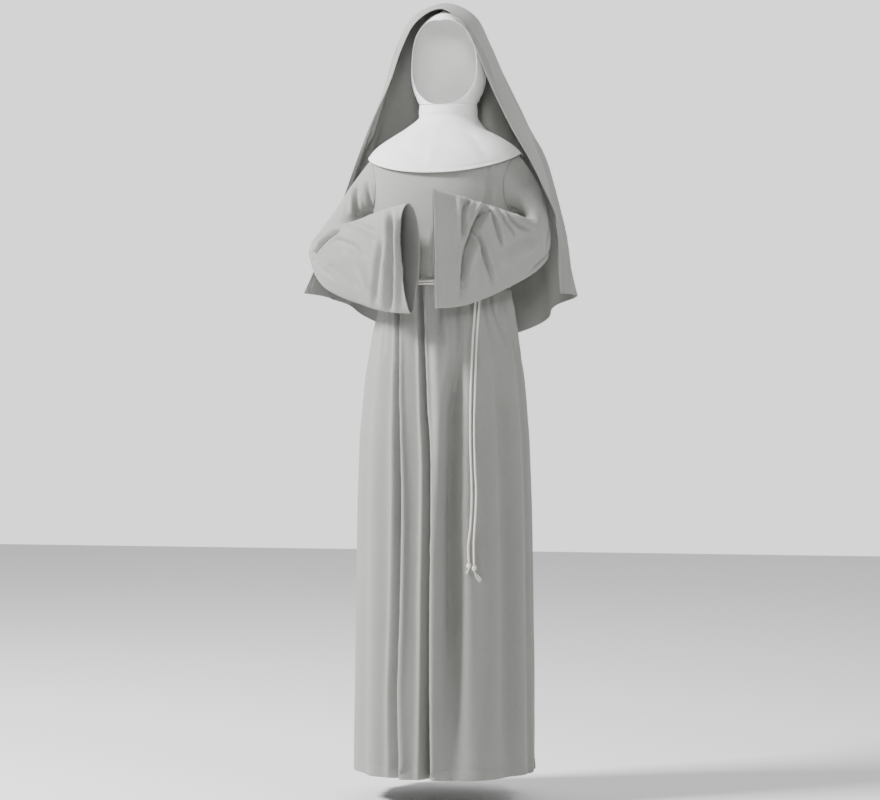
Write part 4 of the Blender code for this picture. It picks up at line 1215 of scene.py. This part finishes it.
def face_edge(share, side):
    turn = np.radians((180.0 - CHIN_HALF_ANGLE) * share)
    power = 2.0 / FACE_ROUNDNESS
    across = FACE_HALF_WIDTH * np.abs(np.sin(turn)) ** power
    up = FACE_HALF_HEIGHT * signed_power(np.cos(turn), power)
    depth = FACE_FRONT_DEPTH - FACE_SIDE_SETBACK * np.abs(np.sin(turn))
    return np.stack([HEAD_CENTRE[0] + side * across, -depth, FACE_CENTRE_HEIGHT + up], axis=-1)


def coif_point(share_down, share_back, side):
    front = face_edge(share_down, side)
    start = face_edge(0.0 * share_down, side)
    end = face_edge(0.0 * share_down + 1.0, side)
    nape = neck_seam_point(180.0)
    pole = np.array([HEAD_CENTRE[0], 0.13, 0.200])
    crown_start = np.arctan2(start[..., 2] - HEAD_CENTRE[2], start[..., 1] - HEAD_CENTRE[1])
    crown_end = math.atan2(pole[2] - HEAD_CENTRE[2], pole[1] - HEAD_CENTRE[1])
    crown_turn = crown_start + (crown_end - crown_start) * share_back
    crown = HEAD_CENTRE + 0.12 * np.stack(
        [0.0 * crown_turn, np.cos(crown_turn), np.sin(crown_turn)], axis=-1)
    down = share_down[..., None]
    away = share_back[..., None]
    back = pole * (1.0 - down) + nape * down
    chin = np.degrees(np.arctan2(np.abs(end[..., 0] - NECK_CENTRE[0]), NECK_HALF_DEPTH))
    seam = neck_seam_point(side * (chin + (180.0 - chin) * share_back))
    blend = (front * (1.0 - away) + back * away + crown * (1.0 - down) + seam * down
             - start * (1.0 - down) * (1.0 - away) - end * down * (1.0 - away)
             - pole * (1.0 - down) * away - nape * down * away)
    direction = blend - HEAD_CENTRE
    direction /= np.linalg.norm(direction, axis=-1, keepdims=True)
    settle = (np.maximum(0.0, down - 0.7) / 0.3) ** 2
    return head_point(direction) * (1.0 - settle) + (seam + (0.0, 0.0, COIF_LIFT)) * settle


def hood_grid(point_at, rows, side_columns):
    """A hood's two sides as one grid, from one lower edge over the crown to the other."""
    share = np.linspace(-1.0, 1.0, 2 * side_columns + 1)[None, :]
    back = np.linspace(0.0, 1.0, rows)[:, None]
    down, back = np.broadcast_arrays(np.abs(share), back)
    side = np.where(share < 0.0, -1.0, 1.0) + 0.0 * back
    left = point_at(down, back, 1.0)
    right = point_at(down, back, -1.0)
    return np.where((side < 0.0)[..., None], right, left)


def weld_back(piece):
    """Joins a hood's two sides where they meet down the centre back."""
    import bmesh
    mesh = bmesh.new()
    mesh.from_mesh(piece.data)
    bmesh.ops.remove_doubles(mesh, verts=mesh.verts, dist=0.00002)
    mesh.to_mesh(piece.data)
    mesh.free()
    piece.data.shade_smooth()


# %% Coif wrinkles and bound edge
COIF_CREASES = [
    Crease(12, 0.0018, 0.0050, [(-0.020, 0.100), (0.010, 0.092), (0.050, 0.100)]),
    Crease(12, 0.0016, 0.0050, [(0.030, 0.110), (0.050, 0.118), (0.066, 0.135)]),
    Crease(12, 0.0014, 0.0045, [(-0.030, 0.115), (-0.045, 0.125), (-0.058, 0.140)]),
    Crease(90, 0.0016, 0.0050, [(-0.020, 0.110), (0.010, 0.105), (0.050, 0.120)]),
    Crease(270, 0.0016, 0.0050, [(0.020, 0.110), (-0.010, 0.105), (-0.050, 0.120)]),
    Crease(180, 0.0020, 0.0070, [(-0.040, 0.110), (0.000, 0.100), (0.040, 0.112)]),
]
BINDING_WIDTH = 0.0062
BINDING_ROLL = 0.0016
BINDING_GROOVE = 0.0007
coif_grid = hood_grid(coif_point, 72, 96)
normals = grid_normals(coif_grid, closed=False, middle=HEAD_CENTRE)
coif_grid = press(coif_grid, normals, COIF_CREASES)
from_edge = np.linalg.norm(coif_grid - coif_grid[:1], axis=2)[..., None]
coif_grid += normals * (BINDING_ROLL * bump((from_edge - 0.002) / 0.0022)
                        - BINDING_GROOVE * bump((from_edge - BINDING_WIDTH) / 0.0012))
coif = make_sheet("coif_cloth", coif_grid, white_cloth, thickness=0.0012)
weld_back(coif)
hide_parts("coif")
stitches("coif_stitches", [line_on(coif_grid, False, BINDING_WIDTH, middle=HEAD_CENTRE)],
         white_thread)

# %% [markdown]
# ## The veil
#
# The veil is one big sheet laid over the head, with a sewn band along its front edge. It falls
# past the shoulders and hangs free at the back. Each row of its tables is one level of one side:
# the front edge, the side's widest point and the centre back.

# %% Veil form
VEIL_LEFT = [
    # edge xyz, side xyz, back y and z
    (0.001, -0.055, 0.291, 0.000, 0.000, 0.314, 0.128, 0.205),
    (0.051, -0.072, 0.253, 0.063, 0.000, 0.285, 0.131, 0.190),
    (0.080, -0.070, 0.198, 0.095, 0.008, 0.226, 0.135, 0.160),
    (0.112, -0.066, 0.120, 0.127, 0.022, 0.150, 0.140, 0.100),
    (0.158, -0.082, 0.030, 0.174, 0.028, 0.052, 0.148, 0.010),
    (0.211, -0.078, -0.066, 0.216, 0.030, -0.048, 0.164, -0.100),
    (0.252, -0.020, -0.178, 0.250, 0.052, -0.174, 0.184, -0.225),
    (0.254, 0.000, -0.270, 0.269, 0.062, -0.270, 0.198, -0.335),
    (0.253, 0.010, -0.326, 0.283, 0.064, -0.330, 0.205, -0.428),
]
VEIL_RIGHT = [
    (-0.001, -0.055, 0.291, 0.000, 0.000, 0.314, 0.128, 0.205),
    (-0.050, -0.072, 0.262, -0.070, 0.000, 0.290, 0.131, 0.190),
    (-0.084, -0.062, 0.208, -0.108, 0.006, 0.232, 0.135, 0.160),
    (-0.116, -0.050, 0.130, -0.138, 0.016, 0.140, 0.140, 0.100),
    (-0.160, -0.044, 0.042, -0.170, 0.030, 0.046, 0.148, 0.010),
    (-0.208, -0.004, -0.050, -0.208, 0.060, -0.054, 0.164, -0.100),
    (-0.274, 0.070, -0.168, -0.252, 0.118, -0.176, 0.184, -0.225),
    (-0.318, 0.074, -0.262, -0.280, 0.128, -0.270, 0.198, -0.335),
    (-0.343, 0.070, -0.318, -0.292, 0.132, -0.330, 0.205, -0.428),
]
VEIL_SIDE_SHARE = 0.28
VEIL_SIDE_SWELL = 0.25
VEIL_FOLD_START = 0.45
VEIL_FOLD_POWER = 1.5
VEIL_FOLDS = [
    # side, place back from the front edge, depth, half width
    (1, 0.50, 0.032, 0.10),
    (1, 0.86, 0.014, 0.10),
    (-1, 0.46, 0.016, 0.09),
    (-1, 0.78, 0.018, 0.11),
]


def veil_point(share_down, share_back, side):
    """Points of one side of the veil, from crown to hem and from its front edge to the back."""
    # The other side's first level comes before the crown, so that the crown is round.
    levels = VEIL_RIGHT[1:2] + VEIL_LEFT if side > 0 else VEIL_LEFT[1:2] + VEIL_RIGHT
    level = between(levels, 1.0 + share_down * (len(levels) - 2))
    edge, wide = level[..., 0:3], level[..., 3:6]
    back_y, back_z = level[..., 6], level[..., 7]
    share = np.clip(share_back / VEIL_SIDE_SHARE, 0.0, 1.0)[..., None]
    front_part = edge * (1.0 - share) + wide * share
    swell = (wide[..., 0] - edge[..., 0]) * VEIL_SIDE_SWELL * np.sin(math.pi * share[..., 0])
    front_part[..., 0] += swell
    turn = np.clip((share_back - VEIL_SIDE_SHARE) / (1.0 - VEIL_SIDE_SHARE), 0.0, 1.0)
    turn = turn * math.pi * 0.5
    power = 1.0 + np.minimum(share_down * 4.0, 1.0)
    cosine = np.maximum(np.cos(turn), 0.0)
    height = back_z + (wide[..., 2] - back_z) * cosine ** power
    depth = wide[..., 1] + (back_y - wide[..., 1]) * np.sin(turn)
    back_part = np.stack([wide[..., 0] * cosine, depth, height], axis=-1)
    below = np.maximum(0.0, share_down - VEIL_FOLD_START)
    drop = (below / (1.0 - VEIL_FOLD_START)) ** VEIL_FOLD_POWER
    inward = 0.0
    for fold_side, place, fold_depth, half_width in VEIL_FOLDS:
        if fold_side == side:
            inward = inward + fold_depth * bump((share_back - place) / half_width)
    inward = inward * drop
    back_part -= np.stack([side * cosine * inward, np.sin(turn) * inward, 0.0 * turn], axis=-1)
    return np.where((share_back < VEIL_SIDE_SHARE)[..., None], front_part, back_part)


# %% Veil folds and sewn band
VEIL_CREASES = [
    # Beside the front band, on the wearer's left and right.
    Crease(12, 0.0080, 0.0050, [(0.034, 0.262), (0.054, 0.234), (0.072, 0.204), (0.090, 0.164),
                                (0.106, 0.120)], 0.25, 1.3),
    Crease(30, 0.0060, 0.0075, [(0.200, -0.080), (0.212, -0.200), (0.222, -0.380)], 0.3, 1.4),
    Crease(348, 0.0070, 0.0060, [(-0.080, 0.240), (-0.118, 0.160), (-0.156, 0.080),
                                 (-0.196, 0.000)], 0.2),
    # The wearer's right side.
    Crease(270, 0.0120, 0.0110, [(-0.040, 0.080), (-0.070, -0.040), (-0.100, -0.200),
                                 (-0.115, -0.440)], 0.45, 1.5),
    Crease(270, 0.0050, 0.0080, [(-0.020, 0.180), (-0.024, 0.100), (-0.030, -0.020)], 0.45),
    # The wearer's left side.
    Crease(90, 0.0130, 0.0110, [(0.050, 0.080), (0.070, -0.030), (0.080, -0.180),
                                (0.085, -0.440)], 0.45, 1.5),
    Crease(90, 0.0090, 0.0085, [(0.110, 0.020), (0.120, -0.080), (0.130, -0.440)], 0.45, 1.5),
    Crease(90, -0.0080, 0.0110, [(0.030, 0.050), (0.030, -0.150), (0.030, -0.380)]),
    Crease(90, 0.0050, 0.0080, [(0.020, 0.180), (0.024, 0.100), (0.030, -0.020)], 0.45),
    # The back.
    Crease(180, 0.0150, 0.0110, [(-0.050, 0.130), (-0.070, 0.000), (-0.085, -0.200),
                                 (-0.095, -0.480)], 0.45, 1.6),
    Crease(180, 0.0120, 0.0100, [(0.010, 0.100), (0.014, -0.060), (0.010, -0.240),
                                 (0.012, -0.480)], 0.4, 1.5),
    Crease(180, 0.0150, 0.0110, [(0.060, 0.110), (0.085, 0.000), (0.105, -0.200),
                                 (0.115, -0.480)], 0.45, 1.6),
    Crease(180, 0.0100, 0.0090, [(-0.130, 0.020), (-0.150, -0.080), (-0.170, -0.420)], 0.45, 1.4),
    Crease(180, 0.0100, 0.0090, [(0.140, 0.020), (0.160, -0.080), (0.185, -0.420)], 0.45, 1.4),
    Crease(180, -0.0080, 0.0110, [(-0.030, 0.100), (-0.034, -0.140), (-0.040, -0.480)]),
    Crease(180, -0.0080, 0.0110, [(0.048, 0.080), (0.052, -0.160), (0.058, -0.480)]),
]
BAND_WIDTH = 0.011
BAND_RELIEF = 0.0014
BAND_STITCHES = (0.0025, 0.0095)
VEIL_SIDE_COLUMNS = 140
VEIL_MIDDLE = np.array([0.0, 0.04, 0.1])
veil_grid = hood_grid(veil_point, 124, VEIL_SIDE_COLUMNS)
normals = grid_normals(veil_grid, closed=False, middle=VEIL_MIDDLE)
veil_grid = press(veil_grid, normals, VEIL_CREASES)
from_edge = np.linalg.norm(veil_grid - veil_grid[:1], axis=2)[..., None]
veil_grid += normals * BAND_RELIEF * ((from_edge < BAND_WIDTH - 0.001)
                                      - bump((from_edge - BAND_WIDTH - 0.001) / 0.0024))
veil = make_sheet("veil_cloth", veil_grid, grey_cloth)
weld_back(veil)
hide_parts("veil")
stitches("veil_stitches", [line_on(veil_grid, False, far, middle=VEIL_MIDDLE)
                           for far in BAND_STITCHES], grey_thread)

# %% [markdown]
# ## Floor and light
#
# A plain pale floor and a pale surround keep attention on the cloth. One strong light stands high
# on the wearer's right, where it rakes across the folds and leaves their far sides dark. A
# weaker one on the other side fills them in, and a faint one in front lets the inside of the hood
# be seen. The surround is bright behind the garment, like a lit studio wall, and dim in front of
# it, so the folds keep their depth.

# %% Floor, lights and surround
FLOOR_HEIGHT = -1.430
FLOOR_REACH = 8.0
DIM_FRONT = 0.06
BRIGHT_BACK = 1.60


def make_light(name, place, size, power, target=(0.0, 0.0, -0.5), spread=180.0):
    """A square soft light aimed at a target."""
    data = bpy.data.lights.new(name, "AREA")
    data.spread = math.radians(spread)
    data.shape = "SQUARE"
    data.size = size
    data.energy = power
    lamp = bpy.data.objects.new(name, data)
    lamp.location = place
    direction = Vector(target) - Vector(place)
    lamp.rotation_euler = direction.to_track_quat("-Z", "Y").to_euler()
    bpy.context.scene.collection.objects.link(lamp)
    return lamp


floor_mesh = bpy.data.meshes.new("floor")
floor_mesh.from_pydata(
    [(x * FLOOR_REACH, y * FLOOR_REACH, FLOOR_HEIGHT)
     for x, y in ((-1, -1), (1, -1), (1, 1), (-1, 1))], [], [(0, 1, 2, 3)])
floor = bpy.data.objects.new("floor", floor_mesh)
bpy.context.scene.collection.objects.link(floor)
floor_paint = bpy.data.materials.new("floor_paint")
floor_paint.use_nodes = True
floor_shader = floor_paint.node_tree.nodes["Principled BSDF"]
floor_shader.inputs["Base Color"].default_value = (0.85, 0.85, 0.85, 1.0)
floor_shader.inputs["Roughness"].default_value = 0.9
floor_mesh.materials.append(floor_paint)

make_light("key", (-3.2, -1.7, 2.4), 1.0, 560.0)
make_light("fill", (2.9, -1.5, 2.8), 1.4, 60.0)
make_light("hood", (0.5, -3.2, 0.5), 0.7, 2.2, target=(0.0, 0.0, 0.10), spread=32.0)

world = bpy.data.worlds.new("surround")
world.use_nodes = True
tree = world.node_tree
place = tree.nodes.new("ShaderNodeTexCoord")
split = tree.nodes.new("ShaderNodeSeparateXYZ")
tree.nodes["Background"].inputs["Color"].default_value = (1.0, 1.0, 1.0, 1.0)
blend = tree.nodes.new("ShaderNodeMapRange")
blend.interpolation_type = "SMOOTHSTEP"
blend.inputs["From Min"].default_value = -0.3
blend.inputs["From Max"].default_value = 0.7
blend.inputs["To Min"].default_value = DIM_FRONT
blend.inputs["To Max"].default_value = BRIGHT_BACK
tree.links.new(place.outputs["Generated"], split.inputs[0])
tree.links.new(split.outputs["Y"], blend.inputs["Value"])
tree.links.new(blend.outputs[0], tree.nodes["Background"].inputs["Strength"])
bpy.context.scene.world = world

# %% [markdown]
# ## Lengths of the finished sheets
#
# The lengths printed for hems, waists, armholes, cuffs and the veil are measured on the finished
# sheets. A tube is counted all the way round. The areas were set to agree with the finished
# surfaces, so that agreement is no proof of the cut.

over_crown = np.linalg.norm(np.diff(veil_grid[:, VEIL_SIDE_COLUMNS], axis=0), axis=1).sum()
half_back = veil_grid[-1, :VEIL_SIDE_COLUMNS + 1]
down_back = np.linalg.norm(np.diff(half_back, axis=0), axis=1).sum()
print("veil: front edge", round(row_length(veil_grid, 0), 3), "m, forehead to back hem",
      round(float(over_crown + down_back), 3), "m")
